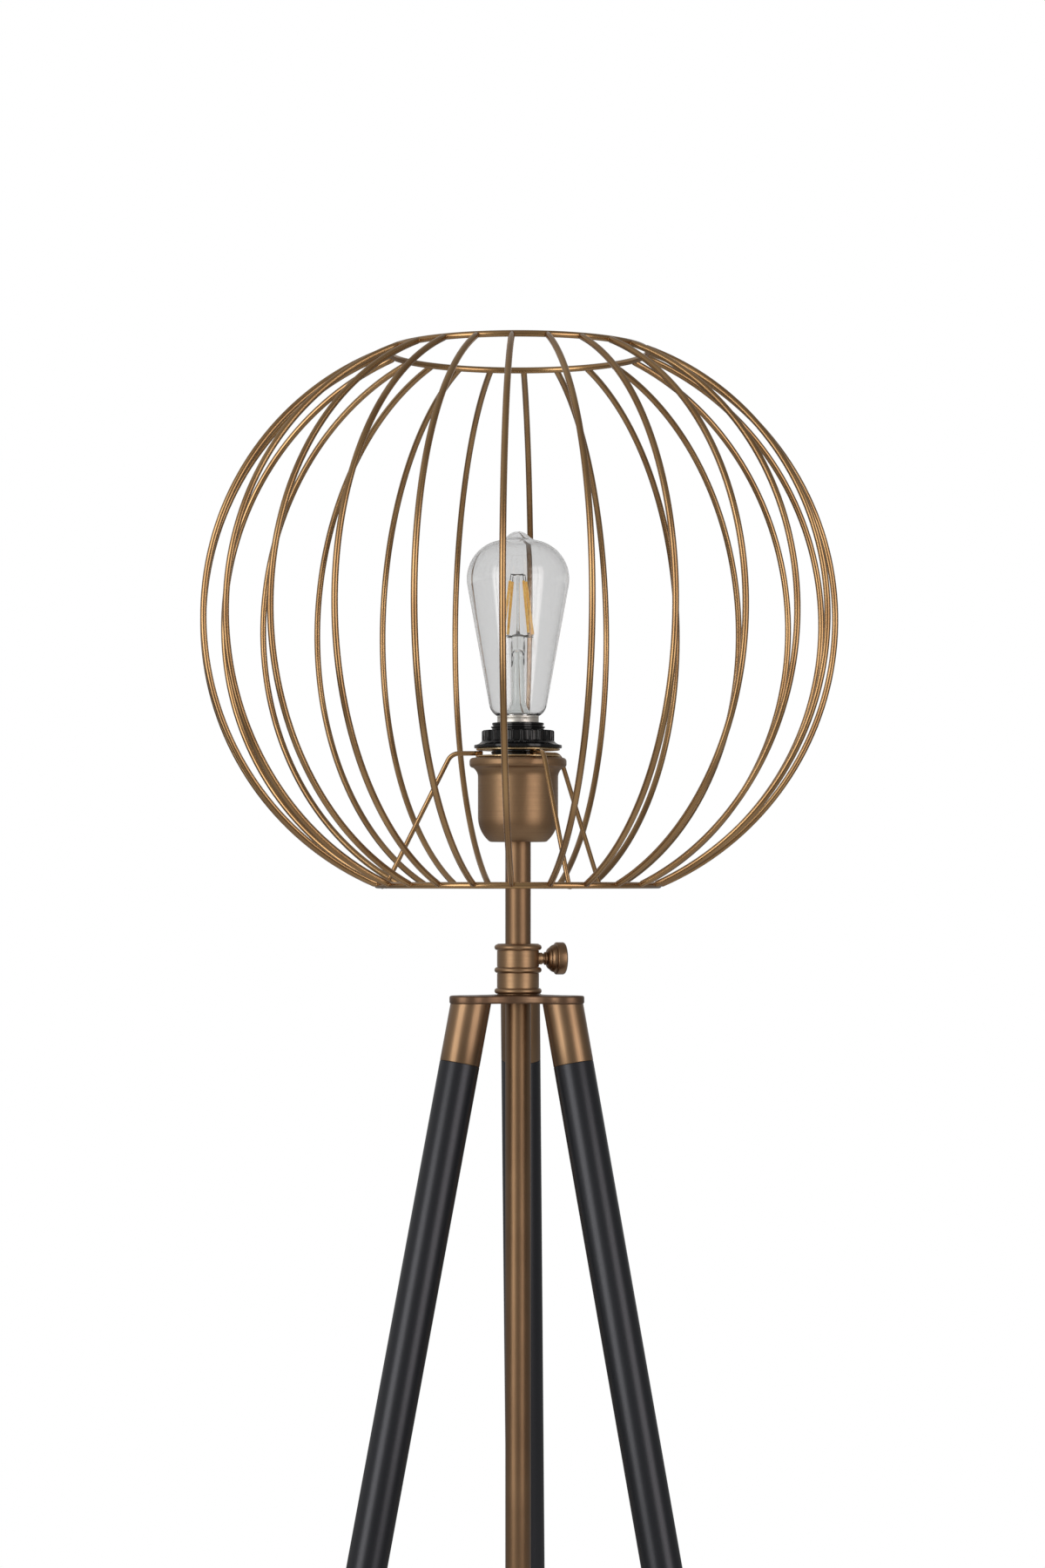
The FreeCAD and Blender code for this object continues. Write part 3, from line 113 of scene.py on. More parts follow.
def smooth(piece, angle=35):
    choose(piece)
    bpy.ops.object.shade_smooth_by_angle(angle=math.radians(angle))


def arc(middle, radius, start, end, steps=8):
    # (radius, height) places along an arc of a turned outline, angles in degrees from straight outwards
    turns = [math.radians(start + (end - start) * step / steps) for step in range(steps + 1)]
    return [(middle[0] + radius * math.cos(turn), middle[1] + radius * math.sin(turn)) for turn in turns]


def lathe(name, outline, sides=96):
    # turns an outline of (radius, height) in mm about Z, by extruding a ring from place to place
    deselectAll()
    closedRing = outline[0] == outline[-1]
    pointedFoot = outline[0][0] == 0
    pointedTop = outline[-1][0] == 0
    path = list(outline)
    if pointedFoot:
        path = path[1:]
    if pointedTop:
        path = path[:-1]
    radius, height = path[0]
    bpy.ops.mesh.primitive_circle_add(vertices=sides, radius=radius * mm, location=(0, 0, 0))
    piece = nameIt(name)
    editMode()
    bpy.ops.mesh.select_all(action="SELECT")
    bpy.ops.transform.translate(value=(0, 0, height * mm))
    for (nextRadius, nextHeight) in path[1:]:
        bpy.ops.mesh.extrude_edges_move(TRANSFORM_OT_translate={"value": (0, 0, (nextHeight - height) * mm)})
        if nextRadius != radius:
            grow = nextRadius / radius
            bpy.ops.transform.resize(value=(grow, grow, 1), center_override=(0, 0, nextHeight * mm))
        radius, height = nextRadius, nextHeight
    if pointedTop:
        closeRing(outline[-1][1] - height)
    if pointedFoot:
        objectMode()
        selectPoints(piece, [vertex.index < sides for vertex in piece.data.vertices])
        editMode()
        closeRing(outline[0][1] - path[0][1])
    bpy.ops.mesh.select_all(action="SELECT")
    if closedRing:
        bpy.ops.mesh.remove_doubles(threshold=0.000001)
    bpy.ops.mesh.normals_make_consistent(inside=False)
    objectMode()
    return piece


def closeRing(rise):
    # ends the selected ring in one point on the axis
    bpy.ops.mesh.extrude_edges_move(TRANSFORM_OT_translate={"value": (0, 0, rise * mm)})
    bpy.ops.mesh.merge(type="CENTER")


def closeEnds():
    # fills the open ends of the wire that is being edited
    bpy.ops.mesh.select_all(action="SELECT")
    bpy.ops.mesh.fill_holes(sides=0)
    bpy.ops.mesh.select_all(action="SELECT")
    bpy.ops.mesh.normals_make_consistent(inside=False)
    objectMode()


def moveTo(piece, x=0, y=0, z=0, turn=None):
    # puts a piece in place, with the place kept in its mesh
    choose(piece)
    if turn is not None:
        piece.rotation_euler = turn
    piece.location = (x, y, z)
    bpy.ops.object.transform_apply(location=True, rotation=True, scale=True)
    return piece


def copyPiece(piece, name, matrix):
    twin = piece.copy()
    twin.data = piece.data.copy()
    twin.name = name
    twin.data.name = name
    bpy.context.scene.collection.objects.link(twin)
    twin.data.transform(matrix)
    return twin


def join(name, pieces):
    choose(*pieces)
    bpy.ops.object.join()
    return nameIt(name)


def joinWalls(name, inner, outer):
    # the inside of a glass wall faces the hollow, and meets the outside at the open edge
    choose(inner)
    editMode()
    bpy.ops.mesh.select_all(action="SELECT")
    bpy.ops.mesh.flip_normals()
    objectMode()
    piece = join(name, [inner, outer])
    editMode()
    bpy.ops.mesh.select_all(action="SELECT")
    bpy.ops.mesh.remove_doubles(threshold=0.00001)
    objectMode()
    return piece


def keepGrain(piece):
    # remembers each point's place before the piece is leaned over, so that brushing follows the piece
    grain = piece.data.attributes.new("grain", "FLOAT_VECTOR", "POINT")
    places = [0.0] * (3 * len(piece.data.vertices))
    piece.data.vertices.foreach_get("co", places)
    grain.data.foreach_set("vector", places)


def finish(piece, body, material, slot, *solids):
    piece.data.materials.clear()
    piece.data.materials.append(material)
    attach(piece, body)
    if solids:
        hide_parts(*solids)
    return piece


def turnPiece(name, outline, sides, sharp, body, material, slot, solid):
    # a turned piece on the pole's axis, standing where its solid stands
    piece = lathe(name, outline, sides)
    smooth(piece, sharp)
    moveTo(piece, poleX, poleY, heights(solid)[0])
    return finish(piece, body, material, slot, solid)


# Small tools for materials

def colour(code):
    # a colour as it is written on screen, such as "#c8a070", to the linear values that a shader takes
    parts = [int(code[place:place + 2], 16) / 255 for place in (1, 3, 5)]
    linear = [part / 12.92 if part <= 0.04045 else ((part + 0.055) / 1.055) ** 2.4 for part in parts]
    return (*linear, 1)


def addNode(tree, kind, inputs=None, **settings):
    node = tree.nodes.new(kind)
    for name, value in settings.items():
        setattr(node, name, value)
    for name, value in (inputs or {}).items():
        if isinstance(value, bpy.types.NodeSocket):
            tree.links.new(value, node.inputs[name])
        else:
            node.inputs[name].default_value = value
    return node


def startMaterial(name, **shader):
    material = bpy.data.materials.new(name)
    material.use_nodes = True
    tree = material.node_tree
    surface = tree.nodes["Principled BSDF"]
    for socket, value in shader.items():
        surface.inputs[socket.replace("_", " ")].default_value = value
    return material, tree, surface


def feed(tree, surface, **sockets):
    for socket, value in sockets.items():
        tree.links.new(value, surface.inputs[socket.replace("_", " ")])


def surfacePlace(tree, fromGrain=False):
    if fromGrain:
        return addNode(tree, "ShaderNodeAttribute", attribute_name="grain").outputs["Vector"]
    return addNode(tree, "ShaderNodeTexCoord").outputs["Object"]


def noise(tree, place, stretch, detail=3.0, roughness=0.55):
    # stretch is how many times per metre the pattern changes along X, Y and Z
    mapping = addNode(tree, "ShaderNodeMapping", {"Vector": place, "Scale": stretch})
    return addNode(tree, "ShaderNodeTexNoise", {
        "Vector": mapping.outputs["Vector"], "Scale": 1.0, "Detail": detail, "Roughness": roughness,
    }).outputs["Fac"]


def ramp(tree, value, low, high, toLow, toHigh):
    return addNode(tree, "ShaderNodeMapRange", {
        "Value": value, "From Min": low, "From Max": high, "To Min": toLow, "To Max": toHigh,
    }).outputs["Result"]


def vary(tree, pattern, toLow, toHigh):
    # most of a noise lies between these two values
    return ramp(tree, pattern, 0.3, 0.7, toLow, toHigh)


def mixColours(tree, share, first, second):
    node = addNode(tree, "ShaderNodeMix", {"Factor": share}, data_type="RGBA")
    for socket, value in ((6, first), (7, second)):
        if isinstance(value, bpy.types.NodeSocket):
            tree.links.new(value, node.inputs[socket])
        else:
            node.inputs[socket].default_value = value
    return node.outputs[2]


def calculate(tree, operation, first, second=0.0):
    return addNode(tree, "ShaderNodeMath", {0: first, 1: second}, operation=operation).outputs[0]


def bump(tree, height, strength, distance):
    return addNode(tree, "ShaderNodeBump", {
        "Height": height, "Strength": strength, "Distance": distance * mm,
    }).outputs["Normal"]


# Metals

bronze = {
    "light": "#b3916b",  # fresh brushed face
    "dark": "#9c7956",  # browner patches of the lacquer
    "patchesPerMetre": 18,
    "brushAlong": 25,  # changes per metre along the brushing
    "brushAcross": 1600,
}


def brushedBronze(name, brushing, roughness, light=bronze["light"], dark=bronze["dark"], fromGrain=False):
    # antique bronze under clear lacquer; the brushing gives the eye fine lines and long soft highlights
    material, tree, surface = startMaterial(name, Metallic=1.0, Coat_Weight=0.7, Coat_Roughness=roughness)
    place = surfacePlace(tree, fromGrain)
    along, across = bronze["brushAlong"], bronze["brushAcross"]
    stretch = {"rings": (along, along, across), "length": (across, across, along)}[brushing]
    lines = noise(tree, place, stretch, 2.0, 0.6)
    patches = noise(tree, place, (bronze["patchesPerMetre"],) * 3, 3.0)
    share = calculate(tree, "ADD", ramp(tree, patches, 0.35, 0.65, 0.0, 0.75), vary(tree, lines, 0.0, 0.25))
    tint = mixColours(tree, share, colour(light), colour(dark))
    feed(tree, surface, Base_Color=tint, Roughness=vary(tree, lines, roughness - 0.04, roughness + 0.05),
         Normal=bump(tree, lines, 0.12, 0.02))
    return material


wireFinish = {"light": "#c69c66", "dark": "#a67c4a", "roughness": (0.21, 0.27)}


def goldenWire():
    # bronze lacquer on steel wire: to the eye smoother and yellower than the turned parts, a little uneven
    material, tree, surface = startMaterial("golden_bronze_wire", Metallic=1.0, Coat_Weight=0.5,
                                            Coat_Roughness=0.15, Coat_IOR=1.8)
    place = surfacePlace(tree)
    patches = noise(tree, place, (26, 26, 26), 1.0)
    tint = mixColours(tree, ramp(tree, patches, 0.32, 0.68, 0.0, 1.0), colour(wireFinish["light"]),
                      colour(wireFinish["dark"]))
    feed(tree, surface, Base_Color=tint, Roughness=vary(tree, patches, *wireFinish["roughness"]))
    return material


def plainMetal(name, light, dark, roughness, grain):
    # plated small parts: even metal with faint cloudiness and fine tool marks
    material, tree, surface = startMaterial(name, Metallic=1.0)
    place = surfacePlace(tree)
    clouds = noise(tree, place, (120, 120, 120), 3.0)
    marks = noise(tree, place, grain, 2.0)
    tint = mixColours(tree, vary(tree, clouds, 0.0, 1.0), colour(light), colour(dark))
    feed(tree, surface, Base_Color=tint, Roughness=vary(tree, marks, roughness - 0.05, roughness + 0.07),
         Normal=bump(tree, marks, 0.1, 0.02))
    return material


# Coatings, plastics, rubber and glass

def satinBlack():
    # charcoal powder coat on the legs: a fine even grain that softens the highlights
    material, tree, surface = startMaterial("charcoal_powder_coat", Specular_IOR_Level=0.75,
                                            Specular_Tint=colour("#e8e9f2"))
    place = surfacePlace(tree, True)
    grain = noise(tree, place, (1400, 1400, 1400), 3.0)
    clouds = noise(tree, place, (14, 14, 5), 2.0)
    tint = mixColours(tree, vary(tree, clouds, 0.0, 1.0), colour("#141619"), colour("#101114"))
    feed(tree, surface, Base_Color=tint, Roughness=vary(tree, grain, 0.29, 0.38),
         Normal=bump(tree, grain, 0.15, 0.03))
    return material


def mouldedBlack(name, roughness, shade):
    # moulded plastic or rubber: nearly black, with slow waviness that breaks up its gloss
    material, tree, surface = startMaterial(name, Specular_IOR_Level=0.5)
    place = surfacePlace(tree)
    waves = noise(tree, place, (260, 260, 260), 2.0)
    dust = noise(tree, place, (2200, 2200, 2200), 2.0)
    tint = mixColours(tree, ramp(tree, dust, 0.4, 0.8, 0.0, 0.5), colour(shade), colour("#18181a"))
    feed(tree, surface, Base_Color=tint, Roughness=vary(tree, waves, roughness - 0.06, roughness + 0.08),
         Normal=bump(tree, waves, 0.1, 0.08))
    return material


def nylon():
    # natural nylon: milky, with light that spreads under the surface
    material, tree, surface = startMaterial("natural_nylon", Subsurface_Weight=0.3, Subsurface_Scale=0.002)
    place = surfacePlace(tree)
    clouds = noise(tree, place, (300, 300, 300), 3.0)
    tint = mixColours(tree, clouds, colour("#d9d5c8"), colour("#c9c4b4"))
    feed(tree, surface, Base_Color=tint, Roughness=vary(tree, clouds, 0.42, 0.55))
    return material


def clearGlass(name, tint, waves, strength):
    # blown glass: clear, a little grey through its thickness, with slow ripples from the mould; in the bulb
    # this grey is painted shade for the surroundings seen through it
    material, tree, surface = startMaterial(name, Transmission_Weight=1.0, IOR=1.5, Roughness=0.0,
                                            Specular_IOR_Level=0.08, Base_Color=colour(tint))
    place = surfacePlace(tree)
    ripples = noise(tree, place, waves, 1.0)
    feed(tree, surface, Normal=bump(tree, ripples, strength, 0.2))
    return material


def filamentCoatPaintedGlow():
    # phosphor in silicone on the filament sticks: amber yellow with faint beads, and a faint painted glow
    # though the bulb is not lit
    material, tree, surface = startMaterial("amber_phosphor_painted_glow", Roughness=0.45, Subsurface_Weight=0.2,
                                            Subsurface_Scale=0.001)
    place = surfacePlace(tree)
    beads = noise(tree, place, (500, 500, 900), 2.0)
    tint = mixColours(tree, ramp(tree, beads, 0.35, 0.65, 0.0, 1.0), colour("#ffd27a"), colour("#f5b450"))
    # the emission is a painted glow that lightens the sticks
    feed(tree, surface, Base_Color=tint, Emission_Color=tint)
    surface.inputs["Emission Strength"].default_value = 0.25
    return material


bronzeCup = brushedBronze("bronze_spun_cup", "rings", 0.44, "#aa8861", "#967453")
bronzeRings = brushedBronze("bronze_brushed_round", "rings", 0.40)
# the plate's bronze is a darker copy of the others: painted shade for its edge under the collar
bronzePlatePaintedShade = brushedBronze("bronze_brushed_plate_painted_shade", "rings", 0.42, "#86664a", "#72553d")
bronzePole = brushedBronze("bronze_brushed_lengthwise", "length", 0.42, "#9e7b57", "#896848")
bronzeLeg = brushedBronze("bronze_brushed_along_leg", "length", 0.36, "#a4825f", "#8f6f4f", fromGrain=True)
bronzeKnob = brushedBronze("bronze_brushed_knob", "rings", 0.36, "#a07d5a", "#8a6a4a", fromGrain=True)
wireGold = goldenWire()
brassBright = plainMetal("bright_brass", "#f0d7ac", "#dfc08f", 0.24, (200, 200, 900))
nickelCap = plainMetal("nickel_plate", "#f4f1ea", "#e4dfd6", 0.40, (200, 200, 1800))
zincSteel = plainMetal("zinc_plated_steel", "#c2c2c0", "#a8a8a8", 0.32, (900, 900, 900))
wireGrey = plainMetal("support_wire", "#8c8c8a", "#70706e", 0.4, (900, 900, 900))
solder = plainMetal("solder", "#b5b5b2", "#94948f", 0.42, (500, 500, 500))
powderBlack = satinBlack()
glossBlack = mouldedBlack("black_phenolic_plastic", 0.13, "#060607")
rubber = mouldedBlack("black_rubber", 0.68, "#1d1d1d")
nylonWhite = nylon()
# the bulb's grey glass tint is painted shade, standing in for the darker surroundings seen through the bulb
bulbGlassPaintedGrey = clearGlass("bulb_glass", "#e8e8e8", (22, 22, 14), 0.015)
stemGlass = clearGlass("stem_glass", "#f2f4f3", (120, 120, 60), 0.1)
phosphorWithPaintedGlow = filamentCoatPaintedGlow()
print("materials ready")


# Solids that keep their CAD shape

def coatSolids(material, *names):
    for name in names:
        slots = nodes[name].data.materials
        slots.clear()
        slots.append(material)


coatSolids(brassBright, "clamp_pad", "pole_top_insert", "socket_screw_shell", "socket_centre_contact")
coatSolids(zincSteel, "collar_screws", "threaded_nipple", "nipple_lock_nut", "socket_terminal_screws",
           "leg_bolts")
coatSolids(nylonWhite, "swivel_bush")


# Hub plate

plate = {"edge": 0.7, "edgeSteps": 3, "edgeAngle": 40, "flatAngle": 1}


def makePlate():
    # the solid's own mesh, with its facets joined and its edges softer
    piece = bpy.data.objects.new("hub_plate_rounded", nodes["hub_plate"].data.copy())
    piece.data.name = piece.name
    bpy.context.scene.collection.objects.link(piece)
    choose(piece)
    editMode()
    bpy.ops.mesh.select_all(action="SELECT")
    bpy.ops.mesh.remove_doubles(threshold=0.00001)
    bpy.ops.mesh.dissolve_limited(angle_limit=math.radians(plate["flatAngle"]))
    objectMode()
    roundEdges(piece, plate["edge"], plate["edgeSteps"], plate["edgeAngle"])
    smooth(piece)
    finish(piece, "tripod", bronzePlatePaintedShade, "antique_brass", "hub_plate")


makePlate()
print("hub plate made")


# Cup

cup = {
    "radius": 25.1, "bowlCurve": 20.0, "bowlHeight": 15.6, "footCurve": 3.0,
    "flareCurve": 7.0, "rimRadius": 30.4, "rimHeight": 6.2, "rimCurve": 2.2, "height": 52.6,
    "lipRadius": 22.0, "lipEdge": 0.5, "wall": 1.2, "hole": 5.1,
}


def makeCup():
    bowl = (cup["radius"] - cup["bowlCurve"], cup["bowlHeight"])
    reach = cup["bowlCurve"] - cup["footCurve"]
    drop = cup["bowlHeight"] - cup["footCurve"]
    footMiddle = (bowl[0] + math.sqrt(reach ** 2 - drop ** 2), cup["footCurve"])
    meet = -math.degrees(math.asin(drop / reach))
    rimFoot = cup["rimRadius"] - cup["rimCurve"]
    turn = math.degrees(math.acos(1 - (rimFoot - cup["radius"]) / cup["flareCurve"]))
    rimLow = cup["height"] - cup["rimHeight"]
    flare = (cup["radius"] + cup["flareCurve"], rimLow - cup["flareCurve"] * math.sin(math.radians(turn)))
    low = (rimFoot, rimLow + cup["rimCurve"])
    high = (rimFoot, cup["height"] - cup["rimCurve"])

    def wall(inset):
        return (arc(footMiddle, cup["footCurve"] - inset, -90, meet, 6)
                + arc(bowl, cup["bowlCurve"] - inset, meet, 0, 14)[1:]
                + arc(flare, cup["flareCurve"] + inset, 180, 180 - turn, 8))

    outside = wall(0) + arc(low, cup["rimCurve"], -88, 0, 6)[1:] + arc(high, cup["rimCurve"], 0, 90, 6)
    lipRadius, lipEdge, top = cup["lipRadius"], cup["lipEdge"], cup["height"]
    lip = [(lipRadius + lipEdge, top), (lipRadius, top - lipEdge), (lipRadius, top - cup["wall"])]
    inner = cup["rimCurve"] - cup["wall"]
    inside = arc(high, inner, 90, 0, 3) + arc(low, inner, 0, -60, 3) + wall(cup["wall"])[::-1]
    outline = [(cup["hole"], 0)] + outside + lip + inside + [(cup["hole"], cup["wall"]), (cup["hole"], 0)]
    turnPiece("cup", outline, 128, 40, "pole", bronzeCup, "antique_brass", "socket_cup")


makeCup()
print("cup made")


# Pole with its outlet bush

pole = {"radius": 8.0, "wall": 1.5, "edge": 0.4}


def makePole():
    low, high = heights("center_pole")
    length = (high - low) / mm
    outer, edge = pole["radius"], pole["edge"]
    inner = outer - pole["wall"]
    outline = [(inner, 0), (outer - edge, 0)] + arc((outer - edge, edge), edge, -90, 0, 3)[1:]
    outline += [(outer, length * share) for share in (0.25, 0.5, 0.75, 1.0)]
    outline += [(inner, length), (inner, 0)]
    turnPiece("pole", outline, 64, 35, "pole", bronzePole, "antique_brass", "center_pole")


outlet = {
    "radius": 8.0, "bore": 4.0, "flange": 2.0, "length": 14.0, "spigot": 6.45, "mouth": 1.5, "edge": 0.6,
}


def makeOutletBush():
    mouth, edge = outlet["mouth"], outlet["edge"]
    outline = [(outlet["bore"] + mouth, 0), (outlet["radius"] - edge, 0)]
    outline += arc((outlet["radius"] - edge, edge), edge, -90, 0, 3)[1:]
    outline += [(outlet["radius"], outlet["flange"]), (outlet["spigot"], outlet["flange"]),
                (outlet["spigot"], outlet["length"]), (outlet["bore"], outlet["length"])]
    outline += arc((outlet["bore"] + mouth, mouth), mouth, 180, 270, 5)
    turnPiece("outlet_bush", outline, 48, 35, "pole", glossBlack, "black_bakelite", "pole_outlet_bush")


makePole()
makeOutletBush()
print("pole made")


# Collar on the hub plate

collar = {
    "height": 32.0, "radius": 13.15, "bore": 8.3, "beadRadius": 14.8, "beadHeight": 3.6,
    "beads": (0.7, 13.8, 28.0), "groove": 0.35, "grooveDepth": 0.3,
    "bossHeight": 22.7, "bossRadius": 3.75, "bossReach": 15.5, "bossAzimuth": 16,
    "bossRoot": 1.0, "bossEdge": 0.35,
}


def makeCollar():
    foot = heights("hub_collar")[0]
    radius, groove, depth = collar["radius"], collar["groove"], collar["grooveDepth"]
    bore, top = collar["bore"], collar["height"]
    stand = collar["beadRadius"] - radius
    curve = (collar["beadHeight"] ** 2 / 4 + stand ** 2) / (2 * stand)
    half = math.degrees(math.asin(collar["beadHeight"] / 2 / curve))
    outline = [(bore, 0), (radius - depth, 0)]
    for bead in collar["beads"]:
        middle = (collar["beadRadius"] - curve, bead + collar["beadHeight"] / 2)
        below, above = bead - groove, bead + collar["beadHeight"] + groove
        outline += [(radius, below), (radius - depth, below + 0.1), (radius - depth, bead)]
        outline += arc(middle, curve, -half, half, 10)
        outline += [(radius - depth, above - groove), (radius - depth, above - 0.1), (radius, above)]
    # the top bead runs into the rounded top edge, so the last groove is left out
    outline = outline[:-3] + [(radius - 0.2, top - 0.2), (radius - 0.5, top), (bore + 0.4, top),
                              (bore, top - 0.4), (bore, 0)]
    piece = lathe("collar", outline, 96)
    deselectAll()
    start = radius - collar["bossRoot"]
    bpy.ops.mesh.primitive_cylinder_add(vertices=48, radius=collar["bossRadius"] * mm,
                                        depth=(collar["bossReach"] - start) * mm,
                                        location=((collar["bossReach"] + start) / 2 * mm, 0,
                                                  collar["bossHeight"] * mm),
                                        rotation=(0, math.pi / 2, 0))
    boss = nameIt("collar_boss")
    roundEdges(boss, collar["bossEdge"], 3)
    choose(boss)
    bpy.ops.object.transform_apply(location=True, rotation=True, scale=True)
    applyModifier(piece, "BOOLEAN", object=boss, operation="UNION", solver="EXACT")
    bpy.data.objects.remove(boss)
    smooth(piece, 32)
    moveTo(piece, poleX, poleY, foot, (0, 0, math.radians(collar["bossAzimuth"])))
    finish(piece, "tripod", bronzeRings, "antique_brass", "hub_collar")


makeCollar()
print("collar made")


# Thumb screw, turned like the collar and then laid level, pointing as the boss does

knob = {
    "tip": 10.35, "shank": 2.5, "start": 15.6, "neck": (16.75, 3.1), "flange": (18.5, 4.15),
    "step": (4.6, 7.0, 3.0), "swell": (20.5, 7.4, 8.8, 4.2), "rim": (23.7, 9.3, 10.15, 0.9),
    "shoulder": (28.6, 1.5), "face": (30.1, 8.7), "end": 30.5, "groove": 0.3, "flangeEdge": 0.75,
}


def arcBetween(start, end, radius, steps):
    # the arc between two places of an outline that bulges to the right of the way from one to the other
    first, last = Vector(start), Vector(end)
    along = last - first
    side = Vector((-along.y, along.x)).normalized()
    middle = (first + last) / 2 + side * math.sqrt(radius ** 2 - along.length ** 2 / 4)
    fromTurn = math.atan2(first.y - middle.y, first.x - middle.x)
    toTurn = math.atan2(last.y - middle.y, last.x - middle.x)
    while toTurn < fromTurn:
        toTurn += 2 * math.pi
    return arc(tuple(middle), radius, math.degrees(fromTurn), math.degrees(toTurn), steps)


def makeThumbScrew():
    low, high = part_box("thumb_screw")
    height = (low.z + high.z) / 2
    neckEnd, neckRadius = knob["neck"]
    flangeEnd, flangeRadius = knob["flange"]
    stepStart, stepRadius, stepCurve = knob["step"]
    swellAt, swellStart, swellRadius, swellCurve = knob["swell"]
    rimAt, rimStart, rimRadius, rimCurve = knob["rim"]
    shoulder, shoulderCurve = knob["shoulder"]
    faceStart, faceRadius = knob["face"]
    bulge = knob["end"] - faceStart
    faceCurve = (faceRadius ** 2 + bulge ** 2) / (2 * bulge)
    # a fine groove parts each step from the next
    groove, edge = knob["groove"], knob["flangeEdge"]
    outline = [(0, knob["tip"]), (knob["shank"] - 0.5, knob["tip"]), (knob["shank"], knob["tip"] + 0.5),
               (knob["shank"], knob["start"]), (neckRadius - 0.2, knob["start"]),
               (neckRadius, knob["start"] + 0.2), (neckRadius, neckEnd)]
    outline += arc((flangeRadius - edge, neckEnd + edge), edge, -90, 0, 5)
    outline += arc((flangeRadius - edge, flangeEnd - edge), edge, 0, 75, 4)
    outline += arcBetween((stepStart, flangeEnd), (stepRadius, swellAt), stepCurve, 7)
    outline += [(stepRadius - groove, swellAt + 0.12), (swellStart - 0.1, swellAt + 0.2)]
    outline += arcBetween((swellStart, swellAt + 0.25), (swellRadius, rimAt), swellCurve, 8)
    outline += [(swellRadius - groove, rimAt + 0.12), (rimStart - 0.1, rimAt + 0.2)]
    outline += arcBetween((rimStart, rimAt + 0.25), (rimRadius, rimAt + rimCurve + 0.1), rimCurve, 6)
    outline += arcBetween((rimRadius, shoulder), (faceRadius, faceStart), shoulderCurve, 8)
    outline += arcBetween((faceRadius, faceStart), (0.0, knob["end"]), faceCurve, 8)[1:-1]
    outline += [(0, knob["end"])]
    piece = lathe("thumb_screw_knob", outline, 72)
    smooth(piece, 32)
    keepGrain(piece)
    moveTo(piece, poleX, poleY, height, (0, math.pi / 2, math.radians(collar["bossAzimuth"])))
    finish(piece, "thumb_screw", bronzeKnob, "antique_brass", "thumb_screw")


makeThumbScrew()
print("thumb screw made")


# Legs

leg = {
    "tilt": 11.7, "circle": 33.1, "underside": 1115.0, "radius": 12.5, "wall": 1.5,
    "ferrule": 38.0, "seam": 0.45, "spigot": 10.95, "spigotLength": 20.0,
    "footRadius": 13.9, "footSleeve": 26.0, "footSole": 6.0, "azimuths": (90, 210, 330),
    "ribs": 3, "ribStart": 7.0, "ribPitch": 3.4, "ribDepth": 0.5, "spare": 8,  # spare is cut off level
}


def standLeg(piece, azimuth, levelCut=None):
    # leans a part of a leg over its place on the plate, then trims it level
    keepGrain(piece)
    turn = math.radians(azimuth)
    lean = Matrix.Rotation(turn, 4, "Z") @ Matrix.Rotation(-math.radians(leg["tilt"]), 4, "Y")
    place = Vector((poleX + leg["circle"] * mm * math.cos(turn), poleY + leg["circle"] * mm * math.sin(turn),
                    leg["underside"] * mm))
    piece.data.transform(Matrix.Translation(place) @ lean)
    if levelCut is not None:
        height, above = levelCut
        choose(piece)
        editMode()
        bpy.ops.mesh.select_all(action="SELECT")
        bpy.ops.mesh.bisect(plane_co=(0, 0, height * mm), plane_no=(0, 0, 1), use_fill=True,
                            clear_outer=above, clear_inner=not above)
        objectMode()
    return piece


def makeFerrule(seamAt):
    radius, seam, spigot = leg["radius"], leg["seam"], leg["spigot"]
    end = seamAt - leg["spigotLength"]
    return lathe("ferrule", [
        (0, end), (spigot, end), (spigot, seamAt), (radius - seam, seamAt), (radius - 0.12, seamAt + 0.12),
        (radius, seamAt + seam), (radius, -20), (radius, leg["spare"]), (0, leg["spare"]),
    ])


def makeTube(seamAt, sole):
    radius, seam = leg["radius"], leg["seam"]
    inner, stretch = radius - leg["wall"], seamAt - sole
    outline = [(inner, sole), (radius, sole)]
    outline += [(radius, sole + stretch * share) for share in (0.25, 0.5, 0.75)]
    outline += [(radius, seamAt - seam), (radius - 0.12, seamAt - 0.12), (radius - seam, seamAt),
                (inner, seamAt), (inner, sole)]
    tube = lathe("tube", outline)
    smooth(tube, 25)
    return tube


def makeFoot(floorEnd, sole):
    # a ribbed rubber sleeve with a sole, pushed over the tube
    radius, footRadius, top = leg["radius"], leg["footRadius"], sole + leg["footSleeve"]
    ribbed, end = footRadius - leg["ribDepth"], floorEnd - leg["spare"]
    outline = [(0, end), (footRadius, end), (footRadius, floorEnd + 5)]
    for rib in range(leg["ribs"]):
        low = floorEnd + leg["ribStart"] + rib * leg["ribPitch"]
        outline += [(footRadius, low), (ribbed, low + 0.4), (ribbed, low + 1.0), (footRadius, low + 1.4)]
    outline += [(footRadius, top - 2.0)] + arc((footRadius - 1.0, top - 1.0), 1.0, 0, 90, 4)
    outline += [(radius + 0.05, top), (radius + 0.05, sole), (0, sole)]
    return lathe("foot", outline, 72)


